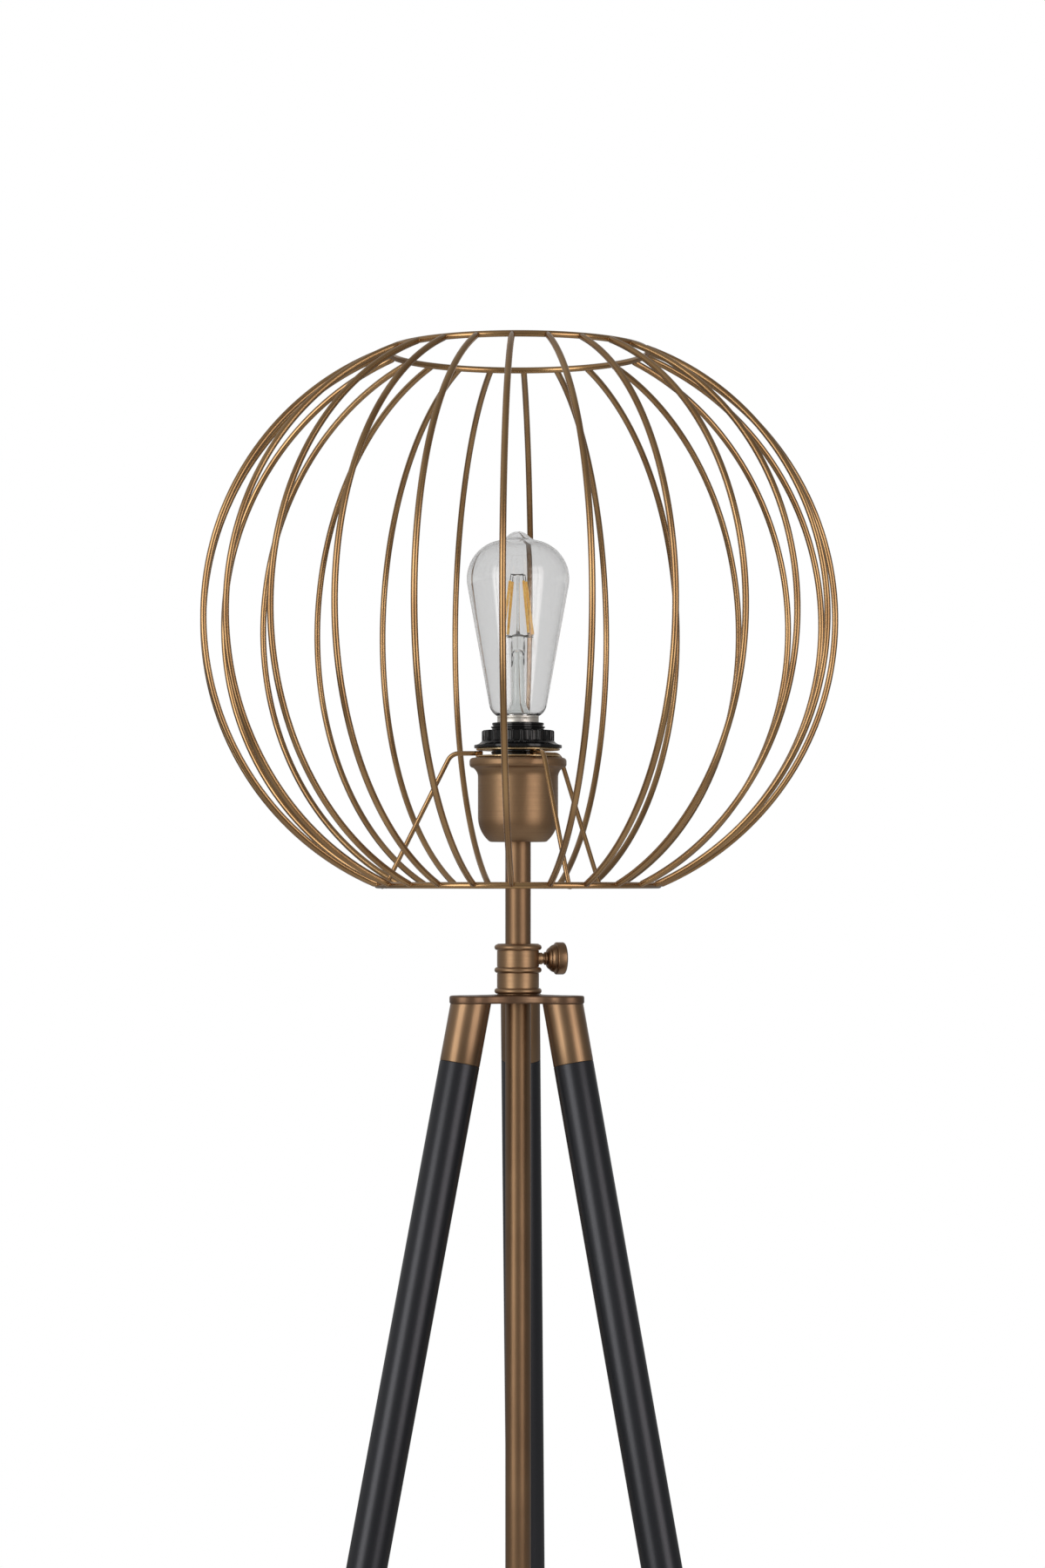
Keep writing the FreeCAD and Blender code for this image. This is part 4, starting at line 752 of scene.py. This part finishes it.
def makeLegs():
    # heights along a leg are counted from the plate's underside
    floorEnd = -leg["underside"] / math.cos(math.radians(leg["tilt"]))
    sole = floorEnd + leg["footSole"]
    seamAt = -leg["ferrule"]
    patterns = makeFerrule(seamAt), makeTube(seamAt, sole), makeFoot(floorEnd, sole)
    feet = []
    for index, azimuth in enumerate(leg["azimuths"], start=1):
        names = ("leg_ferrule_%d_brushed" % index, "leg_tube_%d_coated" % index, "leg_foot_%d" % index)
        ferrule, tube, foot = [copyPiece(pattern, name, Matrix()) for pattern, name in zip(patterns, names)]
        standLeg(ferrule, azimuth, (leg["underside"], True))
        smooth(ferrule, 25)
        finish(ferrule, "tripod", bronzeLeg, "antique_brass", "leg_ferrule_%d" % index)
        standLeg(tube, azimuth)
        finish(tube, "tripod", powderBlack, "black_tube", "leg_tube_%d" % index)
        feet.append(standLeg(foot, azimuth, (0.0, False)))
        smooth(foot, 30)
    for pattern in patterns:
        bpy.data.objects.remove(pattern)
    feet = join("leg_feet_rubber", feet)
    finish(feet, "tripod", rubber, "black_rubber", "leg_feet")


makeLegs()
print("legs made")


# Socket, fitter ring and washer, ring nut

socket = {
    "height": 60.0, "radius": 16.5, "base": 12.0, "taper": 6.0, "bore": 14.05, "boreDepth": 28.2,
    "nippleHole": 5.1, "nippleDepth": 11.0, "wireHole": 3.0,
    "threadRadius": 17.0, "threadRoot": 16.2, "threadStart": 38.0, "pitch": 2.0, "threads": 10,
}


def makeSocket():
    top, bore = socket["height"], socket["bore"]
    nippleHole, wireHole = socket["nippleHole"], socket["wireHole"]
    root, crest = socket["threadRoot"], socket["threadRadius"]
    outline = [(nippleHole, 0), (socket["base"] - 0.6, 0), (socket["base"], 0.5),
               (socket["radius"], socket["taper"]), (socket["radius"], socket["threadStart"] - 0.3)]
    # each thread climbs from its root to a narrow crest and falls back
    for turn in range(socket["threads"]):
        low = socket["threadStart"] + turn * socket["pitch"]
        outline += [(root, low), (root, low + 0.5), (crest - 0.1, low + 0.95), (crest, low + 1.15),
                    (crest, low + 1.45), (crest - 0.1, low + 1.6)]
    outline += [(root - 0.6, top - 2.2), (root - 0.6, top - 1.7), (root, top - 1.3), (root, top - 0.2),
                (root - 0.2, top), (bore + 0.4, top), (bore, top - 0.4), (bore, top - socket["boreDepth"]),
                (wireHole, top - socket["boreDepth"]), (wireHole, socket["nippleDepth"]),
                (nippleHole, socket["nippleDepth"]), (nippleHole, 0)]
    turnPiece("socket", outline, 96, 38, "pole", glossBlack, "black_bakelite", "socket_body")


stamped = {"bore": 17.3, "boreEdge": 0.3, "edgeShare": 0.45, "fitter": 26.5, "washer": 26.2}


def flatRing(name, outer, solid, body, slot):
    # a stamped ring: a thin plate with its outer edges rounded by the die
    low, high = heights(solid)
    thick = (high - low) / mm
    inner, chamfer, edge = stamped["bore"], stamped["boreEdge"], thick * stamped["edgeShare"]
    outline = [(inner + chamfer, 0), (outer - edge, 0)] + arc((outer - edge, edge), edge, -90, 0, 4)[1:]
    outline += arc((outer - edge, thick - edge), edge, 0, 90, 4)
    outline += [(inner + chamfer, thick), (inner, thick - chamfer), (inner, chamfer), (inner + chamfer, 0)]
    turnPiece(name, outline, 96, 35, body, brassBright, slot, solid)


ringNut = {
    "height": 11.2, "bore": 17.3, "flangeRadius": 27.5, "flange": 2.0, "radius": 22.7, "flareHeight": 4.5,
    "flareCurve": 6.5, "flangeEdge": 0.6, "ribs": 22, "grooveDepth": 1.6, "sidesPerRib": 12,
    "grooveSteps": ((9, 0.16), (7, 0.75), (5, 0.09)),  # sides that are pushed in, and how far
}


def makeRingNut():
    low = heights("ring_nut")[0]
    sides = ringNut["ribs"] * ringNut["sidesPerRib"]
    radius, bore, top = ringNut["radius"], ringNut["bore"], ringNut["height"]
    flangeRadius, edge = ringNut["flangeRadius"], ringNut["flangeEdge"]
    flare = arcBetween((radius, ringNut["flareHeight"]), (flangeRadius - 0.1, ringNut["flange"]),
                       ringNut["flareCurve"], 6)[::-1]
    outline = [(bore, 0), (flangeRadius - edge, 0)]
    outline += arc((flangeRadius - edge, edge), edge, -90, 0, 3)[1:]
    outline += [(flangeRadius, ringNut["flange"] - 0.4)] + flare
    outline += [(radius, ringNut["flareHeight"] + 0.4), (radius, top - 1.0), (radius - 0.25, top - 0.3),
                (radius - 0.9, top), (radius - 2.2, top), (bore + 0.5, top), (bore, top - 0.5), (bore, 0)]
    piece = lathe("ring_nut_ribbed", outline, sides)
    # between two ribs the wall is pushed in, deepest in the middle of the gap
    for width, share in ringNut["grooveSteps"]:
        chosen = []
        for vertex in piece.data.vertices:
            place = vertex.co / mm
            across = math.hypot(place.x, place.y)
            isRib = across > radius - 1.0 and place.z > ringNut["flareHeight"] + 0.2
            turn = math.atan2(place.y, place.x) / (2 * math.pi) * sides
            offset = (turn + 0.5) % ringNut["sidesPerRib"] - 0.5 - ringNut["sidesPerRib"] / 2
            chosen.append(isRib and abs(offset) <= width / 2)
        selectPoints(piece, chosen)
        choose(piece)
        editMode()
        shrink = 1 - ringNut["grooveDepth"] * share / radius
        bpy.ops.transform.resize(value=(shrink, shrink, 1), center_override=(0, 0, 0))
        objectMode()
    smooth(piece, 50)
    moveTo(piece, poleX, poleY, low)
    finish(piece, "ring_nut", glossBlack, "black_bakelite", "ring_nut")


makeSocket()
flatRing("fitter_ring_stamped", stamped["fitter"], "fitter_ring", "cage", "antique_brass")
flatRing("fitter_washer_stamped", stamped["washer"], "fitter_washer", "washer", "bright_brass")
makeRingNut()
print("socket and nut made")


# Cage

cage = {
    "wireRadius": 2.0, "ringWireRadius": 2.0, "reach": 198.0, "wires": 24, "sides": 14, "steps": 72,
    "arms": (54, 174, 294), "armRadius": 1.5, "armInner": 22.4, "armCorner": 42.3, "armBend": 8.0,
    "armCut": 1.4,  # keeps the arms' ends above the underside of the ring
    "ringSteps": 160, "armBendSteps": 14, "wireEdge": 0.35, "armEdge": 0.3,
}


def ringPlace(solid):
    low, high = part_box(solid)
    return (high.x - low.x) / 2 / mm - cage["ringWireRadius"], (low.z + high.z) / 2 / mm


def rise(bend, sag):
    # how far above or below its widest place an arc has come in by sag
    return math.sqrt(max(sag * (2 * bend - sag), 0))


def cageBend():
    # the arc that passes through both rings and is widest at the cage's radius, found by halving
    lowRadius, lowHeight = ringPlace("cage_bottom_ring")
    highRadius, highHeight = ringPlace("cage_top_ring")
    lowSag, highSag = cage["reach"] - lowRadius, cage["reach"] - highRadius
    height = highHeight - lowHeight
    small, large = height / 4, height * 4
    for _ in range(80):
        bend = (small + large) / 2
        tooSmall = rise(bend, lowSag) + rise(bend, highSag) < height
        small, large = (bend, large) if tooSmall else (small, bend)
    return bend, lowHeight + rise(bend, lowSag)


def spinWire(name, bend, sweep):
    # the wire's round section, spun about the middle of its bend
    deselectAll()
    bpy.ops.mesh.primitive_circle_add(vertices=cage["sides"], radius=cage["wireRadius"] * mm,
                                      location=(bend * mm, 0, 0))
    piece = nameIt(name)
    bpy.ops.object.transform_apply(location=True, rotation=True, scale=True)
    editMode()
    bpy.ops.mesh.select_all(action="SELECT")
    bpy.ops.mesh.spin(steps=cage["steps"], angle=sweep, center=(0, 0, 0), axis=(0, 1, 0))
    return piece


def makeWires():
    bend, widest = cageBend()
    centre = cage["reach"] - bend
    lowHeight, highHeight = ringPlace("cage_bottom_ring")[1], ringPlace("cage_top_ring")[1]
    # each end stops at the skin of its ring
    endCut = 2 * math.asin(cage["ringWireRadius"] / 2 / bend)
    low = -math.asin((widest - lowHeight) / bend) + endCut
    high = math.asin((highHeight - widest) / bend) - endCut
    wire = spinWire("wire", bend, high - low)
    closeEnds()
    roundEdges(wire, cage["wireEdge"], 2, 60)
    smooth(wire, 50)
    wire.data.transform(Matrix.Translation((centre * mm, 0, widest * mm)) @ Matrix.Rotation(-low, 4, "Y"))
    for index in range(cage["wires"]):
        turn = Matrix.Rotation(2 * math.pi * index / cage["wires"], 4, "Z")
        twin = copyPiece(wire, "cage_wire_%02d_bent" % (index + 1),
                         Matrix.Translation((poleX, poleY, 0)) @ turn)
        finish(twin, "cage", wireGold, "bronze_wire", "cage_wire_%02d" % (index + 1))
    bpy.data.objects.remove(wire)
    return centre, widest, bend, low, high


def makeRings():
    for solid in ("cage_top_ring", "cage_bottom_ring"):
        radius, height = ringPlace(solid)
        deselectAll()
        bpy.ops.mesh.primitive_torus_add(major_radius=radius * mm, minor_radius=cage["ringWireRadius"] * mm,
                                         major_segments=cage["ringSteps"], minor_segments=cage["sides"] + 2)
        ring = nameIt(solid + "_bent")
        smooth(ring, 60)
        moveTo(ring, poleX, poleY, height * mm)
        finish(ring, "cage", wireGold, "bronze_wire", solid)


def makeArms():
    level = heights("spider_arms")[1] / mm - cage["armRadius"]
    ringRadius, ringHeight = ringPlace("cage_bottom_ring")
    span, drop = ringRadius - cage["armCorner"], level - ringHeight
    reach = math.hypot(span, drop)
    touch = cage["ringWireRadius"] + cage["armRadius"]
    lean = math.atan2(span, drop) - math.asin(touch / reach)
    run = math.sqrt(reach ** 2 - touch ** 2) + cage["armRadius"]
    turn = math.pi / 2 - lean
    trim = cage["armBend"] * math.tan(turn / 2)
    deselectAll()
    bpy.ops.mesh.primitive_circle_add(vertices=cage["sides"], radius=cage["armRadius"] * mm,
                                      location=(cage["armInner"] * mm, 0, 0), rotation=(0, math.pi / 2, 0))
    arm = nameIt("arm")
    bpy.ops.object.transform_apply(location=True, rotation=True, scale=True)
    editMode()
    bpy.ops.mesh.select_all(action="SELECT")
    bendStart = cage["armCorner"] - trim
    levelRun = bendStart - cage["armInner"]
    bpy.ops.mesh.extrude_edges_move(TRANSFORM_OT_translate={"value": (levelRun * mm, 0, 0)})
    bpy.ops.mesh.spin(steps=cage["armBendSteps"], angle=turn, axis=(0, -1, 0),
                      center=(bendStart * mm, 0, -cage["armBend"] * mm))
    slope = (run - trim - cage["armCut"]) * mm
    bpy.ops.mesh.extrude_edges_move(TRANSFORM_OT_translate={
        "value": (slope * math.sin(lean), 0, -slope * math.cos(lean))})
    closeEnds()
    roundEdges(arm, cage["armEdge"], 2, 60)
    smooth(arm, 50)
    arms = []
    lift = Matrix.Translation((poleX, poleY, level * mm))
    for azimuth in cage["arms"]:
        arms.append(copyPiece(arm, "arm_%d" % azimuth, lift @ Matrix.Rotation(math.radians(azimuth), 4, "Z")))
    bpy.data.objects.remove(arm)
    arms = join("spider_arms_bent", arms)
    finish(arms, "cage", wireGold, "bronze_wire", "spider_arms")
    return lean, run, level


weld = {
    "lumps": 0.9, "lumpHeight": 0.35, "wireShape": (1.84, 2.162, 1.012), "armShape": (1.5, 2.1, 1.7),
    "armOffset": (0.7, 2.2),  # outwards and up from the end of an arm
}


def makeWelds(centre, widest, bend, low, high, lean, run, level):
    # small beads of metal where each wire and arm meets a ring
    deselectAll()
    bpy.ops.mesh.primitive_ico_sphere_add(subdivisions=2, radius=mm)
    bead = nameIt("weld")
    lumps = bpy.data.textures.new("weld_lumps", "CLOUDS")
    lumps.noise_scale = weld["lumps"] * mm
    applyModifier(bead, "DISPLACE", texture=lumps, strength=weld["lumpHeight"] * mm, mid_level=0.5,
                  texture_coords="LOCAL")
    beads = []
    axis = Matrix.Translation((poleX, poleY, 0))
    for index in range(cage["wires"]):
        around = Matrix.Rotation(2 * math.pi * index / cage["wires"], 4, "Z")
        for angle in (low, high):
            place = Vector((centre + bend * math.cos(angle), 0, widest + bend * math.sin(angle))) * mm
            lie = Matrix.Rotation(-angle, 4, "Y") @ Matrix.Diagonal((*weld["wireShape"], 1))
            matrix = axis @ around @ Matrix.Translation(place) @ lie
            beads.append(copyPiece(bead, "weld_%02d" % index, matrix))
    outwards, up = weld["armOffset"]
    endRadius = cage["armCorner"] + run * math.sin(lean) + outwards
    end = Vector((endRadius, 0, level - run * math.cos(lean) + up)) * mm
    lie = Matrix.Rotation(-lean, 4, "Y") @ Matrix.Diagonal((*weld["armShape"], 1))
    for azimuth in cage["arms"]:
        around = Matrix.Rotation(math.radians(azimuth), 4, "Z")
        beads.append(copyPiece(bead, "weld_arm", axis @ around @ Matrix.Translation(end) @ lie))
    bpy.data.objects.remove(bead)
    beads = join("cage_weld_beads", beads)
    smooth(beads, 80)
    finish(beads, "cage", wireGold, "bronze_wire")


arcOfWires = makeWires()
makeRings()
armLine = makeArms()
makeWelds(*arcOfWires, *armLine)
print("cage made")


# Bulb

bulb = {
    "neck": 13.6, "seat": 12.55, "seatDepth": 5.0, "shoulder": (18.0, 6.5), "shoulderCurve": 9.7,
    "coneAngle": 10.35, "headCurve": 24.4, "headRadius": 7.67, "tipStart": 12.0, "tip": (6.6, 2.96, 2.8),
    "tipFlare": 10.0, "wall": 0.6,
}


def moveInwards(outline, depth):
    # the same outline, moved inwards by the thickness of a wall
    places = []
    for index, (radius, height) in enumerate(outline):
        before, after = outline[max(index - 1, 0)], outline[min(index + 1, len(outline) - 1)]
        along = Vector((after[0] - before[0], after[1] - before[1])).normalized()
        places.append((radius - depth * along.y, height + depth * along.x))
    return places


def makeGlass():
    foot = heights("bulb_cap")[1]
    lean = math.radians(bulb["coneAngle"])
    across, up = math.cos(lean), math.sin(lean)
    shoulder, shoulderHeight = bulb["shoulder"]
    coneRadius = bulb["headRadius"] + bulb["headCurve"] * across
    coneHeight = shoulderHeight + (coneRadius - shoulder) / math.tan(lean)
    head = (bulb["headRadius"], coneHeight + bulb["headCurve"] * up)
    crownTurn = math.degrees(math.acos((bulb["tipStart"] - head[0]) / bulb["headCurve"]))
    crown = head[1] + bulb["headCurve"] * math.sin(math.radians(crownTurn))
    tipRadius, tipFoot, tipRound = bulb["tip"]
    tipEdge, tipTop = (tipRadius, crown + tipFoot), crown + tipFoot + tipRound
    tipCurve = (tipRadius ** 2 + tipRound ** 2) / (2 * tipRound)
    wall, seat = bulb["wall"], bulb["seat"]
    cone = [(shoulder + (coneRadius - shoulder) * step / 6,
             shoulderHeight + (coneHeight - shoulderHeight) * step / 6) for step in range(1, 6)]
    blown = arcBetween((bulb["neck"], 0.3), (shoulder, shoulderHeight), bulb["shoulderCurve"], 10) + cone
    blown += arc(head, bulb["headCurve"], -bulb["coneAngle"], crownTurn, 28)
    blown += arcBetween(tipEdge, (bulb["tipStart"], crown), bulb["tipFlare"], 8)[::-1][1:]
    blown += arcBetween(tipEdge, (0.0, tipTop), tipCurve, 8)[1:-1]
    seatFoot = -bulb["seatDepth"]
    outline = [(seat - wall, seatFoot), (seat, seatFoot), (seat, 0.1), (bulb["neck"] - 0.3, 0.1)] + blown
    outer = lathe("glass_outside", outline + [(0, tipTop)])
    inside = [(seat - wall, seatFoot), (seat - wall, 1.0)] + moveInwards(blown, wall)[1:]
    inner = lathe("glass_inside", inside + [(0, tipTop - wall)])
    piece = joinWalls("bulb_glass_blown", inner, outer)
    smooth(piece, 60)
    moveTo(piece, poleX, poleY, foot)
    finish(piece, "bulb", bulbGlassPaintedGrey, "clear_glass", "bulb_glass")


cap = {
    "radius": 13.0, "wall": 0.4, "height": 26.5, "foot": 10.5, "taper": 3.0, "floor": 1.5,
    "pitch": 3.63, "turns": 4.5, "threadRoot": 1.1, "threadDepth": 1.05, "stepsPerTurn": 8, "bead": 1.5,
}


def makeCap():
    radius, height, foot, turns = cap["radius"], cap["height"], cap["foot"], cap["turns"]
    outline = [(0, 0), (foot - 0.5, 0), (foot, 0.4), (radius - 1.2, cap["taper"])]
    start = cap["taper"] + 0.6
    # the rolled thread is a row of round waves
    for step in range(int(cap["stepsPerTurn"] * turns)):
        swing = 0.5 - 0.5 * math.cos(2 * math.pi * step / cap["stepsPerTurn"])
        outline.append((radius - cap["threadRoot"] + cap["threadDepth"] * swing,
                        start + cap["pitch"] * step / cap["stepsPerTurn"]))
    edge = start + cap["pitch"] * turns
    bead = height - cap["bead"]
    inside, hollow = radius - cap["wall"], radius - 1.7
    outline += [(radius - 0.6, edge + 0.3), (radius, edge + 0.9), (radius, bead - 0.2), (radius - 0.2, bead),
                (radius, bead + 0.2), (radius, height - 0.2), (radius - 0.2, height), (inside, height),
                (inside, edge + 1.2), (hollow, edge), (hollow, start), (foot - 0.4, cap["floor"]),
                (0, cap["floor"])]
    turnPiece("bulb_cap_rolled", outline, 72, 50, "bulb", nickelCap, "cap_nickel", "bulb_cap")


def makeTipContact():
    low, high = heights("bulb_tip_contact")
    tall = (high - low) / mm
    outline = [(0, 0), (1.2, 0.05), (2.2, 0.3), (3.0, 0.7), (3.8, 1.1), (4.5, tall), (0, tall)]
    turnPiece("bulb_tip_solder", outline, 40, 50, "bulb_contact", solder, "solder", "bulb_tip_contact")


stem = {
    "foot": 10.0, "flare": (12.0, 14.0), "radius": 4.5, "wall": 0.7, "height": 51.0, "pinch": 2.5, "rod": 1.0,
    "top": 89.1, "press": 8.5, "flatten": 0.5,
}


def makeStem():
    foot = heights("bulb_stem")[0]
    flareHeight, flareCurve = stem["flare"]
    wall, height, rod, radius = stem["wall"], stem["height"], stem["rod"], stem["radius"]
    flare = arcBetween((radius, flareHeight), (stem["foot"], 0.0), flareCurve, 10)[::-1]
    outline = [(stem["foot"] - wall, 0)] + flare
    outline += [(radius, 30), (radius, height - 8), (radius - 0.3, height - 3)]
    outline += arc((radius - 1.8, height - 1.5), 1.5, 0, 80, 4)
    outline += [(rod + 0.4, height + 0.4), (rod, height + stem["pinch"]), (rod, stem["top"] - 3),
                (rod + 0.35, stem["top"] - 1.2), (rod, stem["top"] - 0.2), (0, stem["top"])]
    outer = lathe("stem_outside", outline, 48)
    inside = [(stem["foot"] - wall, 0)] + [(across - wall * 0.9, up) for across, up in flare[1:]]
    inside += [(radius - wall, 30), (radius - wall, height - 12), (radius - wall - 1.0, height - 10),
               (0, height - 9)]
    inner = lathe("stem_inside", inside, 48)
    piece = joinWalls("bulb_stem_blown", inner, outer)
    # the top of the stem is pressed flat on two sides
    pressStart, pressEnd = height - stem["press"], height + 0.2
    selectPoints(piece, [pressStart < vertex.co.z / mm < pressEnd for vertex in piece.data.vertices])
    choose(piece)
    editMode()
    bpy.ops.transform.resize(value=(1, stem["flatten"], 1), center_override=(0, 0, height * mm))
    objectMode()
    smooth(piece, 50)
    moveTo(piece, poleX, poleY, foot)
    finish(piece, "bulb", stemGlass, "clear_glass", "bulb_stem")


filament = {
    "radius": 0.9, "low": (11.5, 50.5), "high": (5.5, 87.8), "azimuth": 37.5, "count": 4,
    "edge": 0.4, "lead": 0.3, "lowLead": 1.0, "highLead": 3.4,
}


def makeFilaments():
    foot = heights("bulb_stem")[0]
    (lowRadius, lowHeight), (highRadius, highHeight) = filament["low"], filament["high"]
    length = math.hypot(lowRadius - highRadius, highHeight - lowHeight)
    lean = math.atan2(lowRadius - highRadius, highHeight - lowHeight)
    radius, low, high = filament["radius"], filament["lowLead"], length - filament["highLead"]
    edge = filament["edge"]
    stick = lathe("stick", [(0, low)] + arc((radius - edge, low + edge), edge, -90, 0, 3)
                  + arc((radius - edge, high - edge), edge, 0, 90, 3) + [(0, high)], 16)
    lead = lathe("lead", [(0, 0), (filament["lead"], 0), (filament["lead"], length), (0, length)], 12)
    sticks, leads = [], []
    for index in range(filament["count"]):
        turn = math.radians(filament["azimuth"] + 360 * index / filament["count"])
        matrix = (Matrix.Translation((poleX, poleY, foot)) @ Matrix.Rotation(turn, 4, "Z")
                  @ Matrix.Translation((lowRadius * mm, 0, lowHeight * mm)) @ Matrix.Rotation(-lean, 4, "Y"))
        sticks.append(copyPiece(stick, "stick_%d" % index, matrix))
        leads.append(copyPiece(lead, "lead_%d" % index, matrix))
    for piece in (stick, lead):
        bpy.data.objects.remove(piece)
    sticks, leads = join("bulb_filament_sticks", sticks), join("bulb_filament_leads", leads)
    for piece in (sticks, leads):
        smooth(piece, 50)
    finish(sticks, "bulb", phosphorWithPaintedGlow, "filament_yellow", "bulb_filaments")
    finish(leads, "bulb", wireGrey, "cap_nickel")
    coatSolids(wireGrey, "bulb_support_wires")


makeGlass()
makeCap()
makeTipContact()
makeStem()
makeFilaments()
print("bulb made")


# Camera, floor and light

# height, focal length and horizon in pixels of the photo, the rest in metres and degrees
photo = {
    "height": 1800, "focal": 4250, "horizon": 1010, "distance": 2.317, "eye": 1.192, "azimuth": 2.5,
    "aside": 0.0028, "sensor": 36,
}


def placeCamera():
    data = bpy.data.cameras.new("photo_camera")
    camera = bpy.data.objects.new("photo_camera", data)
    bpy.context.scene.collection.objects.link(camera)
    turn = math.radians(photo["azimuth"])
    back = Vector((math.sin(turn), -math.cos(turn), 0))
    right = Vector((math.cos(turn), math.sin(turn), 0))
    camera.location = Vector((poleX, poleY, photo["eye"])) + back * photo["distance"] + right * photo["aside"]
    camera.rotation_euler = (math.pi / 2, 0, turn)
    data.sensor_width = photo["sensor"]
    data.lens = photo["sensor"] * photo["focal"] / photo["height"]
    data.shift_y = (photo["horizon"] - photo["height"] / 2) / photo["height"]
    bpy.context.scene.camera = camera


studio = {
    "floorSize": 60.0, "floorLight": "#e9e9e9", "floorDark": "#dcdcdc", "fade": (0.8, 3.0),
    "floorForMetal": 0.17,
    "roomForMetal": (0.40, 0.20), "backdropForMetal": 0.45, "roomForMatt": 0.5,
    "boxHeight": 2.9, "boxDistance": 2.6, "boxLift": 1.5, "aim": 1.15, "feather": 0.35,
    "boxes": {"left": (-44, 1.7, 36.0, "#fffdfa"), "right": (45, 1.8, 31.0, "#fff8f6")},
}


def makeFloor():
    deselectAll()
    bpy.ops.mesh.primitive_plane_add(size=studio["floorSize"], location=(0, 0, 0))
    floor = nameIt("studio_floor")
    material, tree, surface = startMaterial("pale_floor", Roughness=0.8, Specular_IOR_Level=0.1)
    place = surfacePlace(tree)
    grain = noise(tree, place, (30, 30, 30), 4.0)
    tint = mixColours(tree, vary(tree, grain, 0.0, 0.15), colour(studio["floorLight"]),
                      colour(studio["floorDark"]))
    feed(tree, surface, Base_Color=tint)
    # seen by the camera, in metal or through glass, the floor turns into the white backdrop further out
    away = addNode(tree, "ShaderNodeVectorMath", {0: place}, operation="LENGTH").outputs["Value"]
    share = ramp(tree, away, *studio["fade"], 0.35, 1.0)
    rays = addNode(tree, "ShaderNodeLightPath").outputs
    seen = calculate(tree, "MAXIMUM", rays["Is Camera Ray"], rays["Is Glossy Ray"])
    seen = calculate(tree, "MAXIMUM", seen, rays["Is Transmission Ray"])
    strength = ramp(tree, rays["Is Glossy Ray"], 0.0, 1.0, 1.0, studio["floorForMetal"])
    glow = addNode(tree, "ShaderNodeEmission", {"Color": (1, 1, 1, 1), "Strength": strength})
    share = calculate(tree, "MULTIPLY", share, seen)
    mixed = addNode(tree, "ShaderNodeMixShader", {0: share, 1: surface.outputs[0], 2: glow.outputs[0]})
    tree.links.new(mixed.outputs[0], tree.nodes["Material Output"].inputs["Surface"])
    floor.data.materials.append(material)


def lightRoom():
    world = bpy.data.worlds.new("studio")
    bpy.context.scene.world = world
    world.use_nodes = True
    tree = world.node_tree
    rays = addNode(tree, "ShaderNodeLightPath").outputs
    # the white backdrop stands behind the lamp; the rest of the room is darker in the metal
    direction = addNode(tree, "ShaderNodeTexCoord").outputs["Generated"]
    split = addNode(tree, "ShaderNodeSeparateXYZ", {"Vector": direction}).outputs
    sides = ramp(tree, split["X"], -0.8, 0.6, *studio["roomForMetal"])
    forMetal = ramp(tree, split["Y"], 0.75, 0.9, sides, studio["backdropForMetal"])
    level = ramp(tree, rays["Is Glossy Ray"], 0.0, 1.0, studio["roomForMatt"], forMetal)
    seen = calculate(tree, "MAXIMUM", rays["Is Camera Ray"], rays["Is Transmission Ray"])
    room = tree.nodes["Background"]
    room.inputs["Color"].default_value = (1, 1, 1, 1)
    feed(tree, room, Strength=ramp(tree, seen, 0.0, 1.0, level, 1.0))


def softBox(name, azimuth, width, power, tint):
    # azimuth is counted from the camera's side of the lamp, positive to its right
    data = bpy.data.lights.new(name, "AREA")
    data.shape = "RECTANGLE"
    data.size = width
    data.size_y = studio["boxHeight"]
    data.energy = power
    data.color = colour(tint)[:3]
    # the cloth of the soft box is darker towards its edges
    data.use_nodes = True
    tree = data.node_tree
    place = addNode(tree, "ShaderNodeNewGeometry").outputs["Parametric"]
    split = addNode(tree, "ShaderNodeSeparateXYZ", {"Vector": place}).outputs
    inward = []
    for axis in ("X", "Y"):
        fromMiddle = calculate(tree, "ABSOLUTE", calculate(tree, "SUBTRACT", split[axis], 0.5))
        inward.append(ramp(tree, fromMiddle, 0.5, 0.5 - studio["feather"] / 2, 0.0, 1.0))
    feed(tree, tree.nodes["Emission"], Strength=calculate(tree, "MULTIPLY", *inward))
    light = bpy.data.objects.new(name, data)
    bpy.context.scene.collection.objects.link(light)
    turn = math.radians(photo["azimuth"] + azimuth)
    distance = studio["boxDistance"]
    light.location = (poleX + distance * math.sin(turn), poleY - distance * math.cos(turn), studio["boxLift"])
    aim = Vector((poleX, poleY, studio["aim"])) - light.location
    light.rotation_euler = aim.to_track_quat("-Z", "Y").to_euler()
    light.visible_camera = False


placeCamera()
makeFloor()
lightRoom()
for side, (azimuth, width, power, tint) in studio["boxes"].items():
    softBox("soft_box_" + side, azimuth, width, power, tint)
bpy.context.scene.view_settings.view_transform = "Standard"
print("camera and light ready")
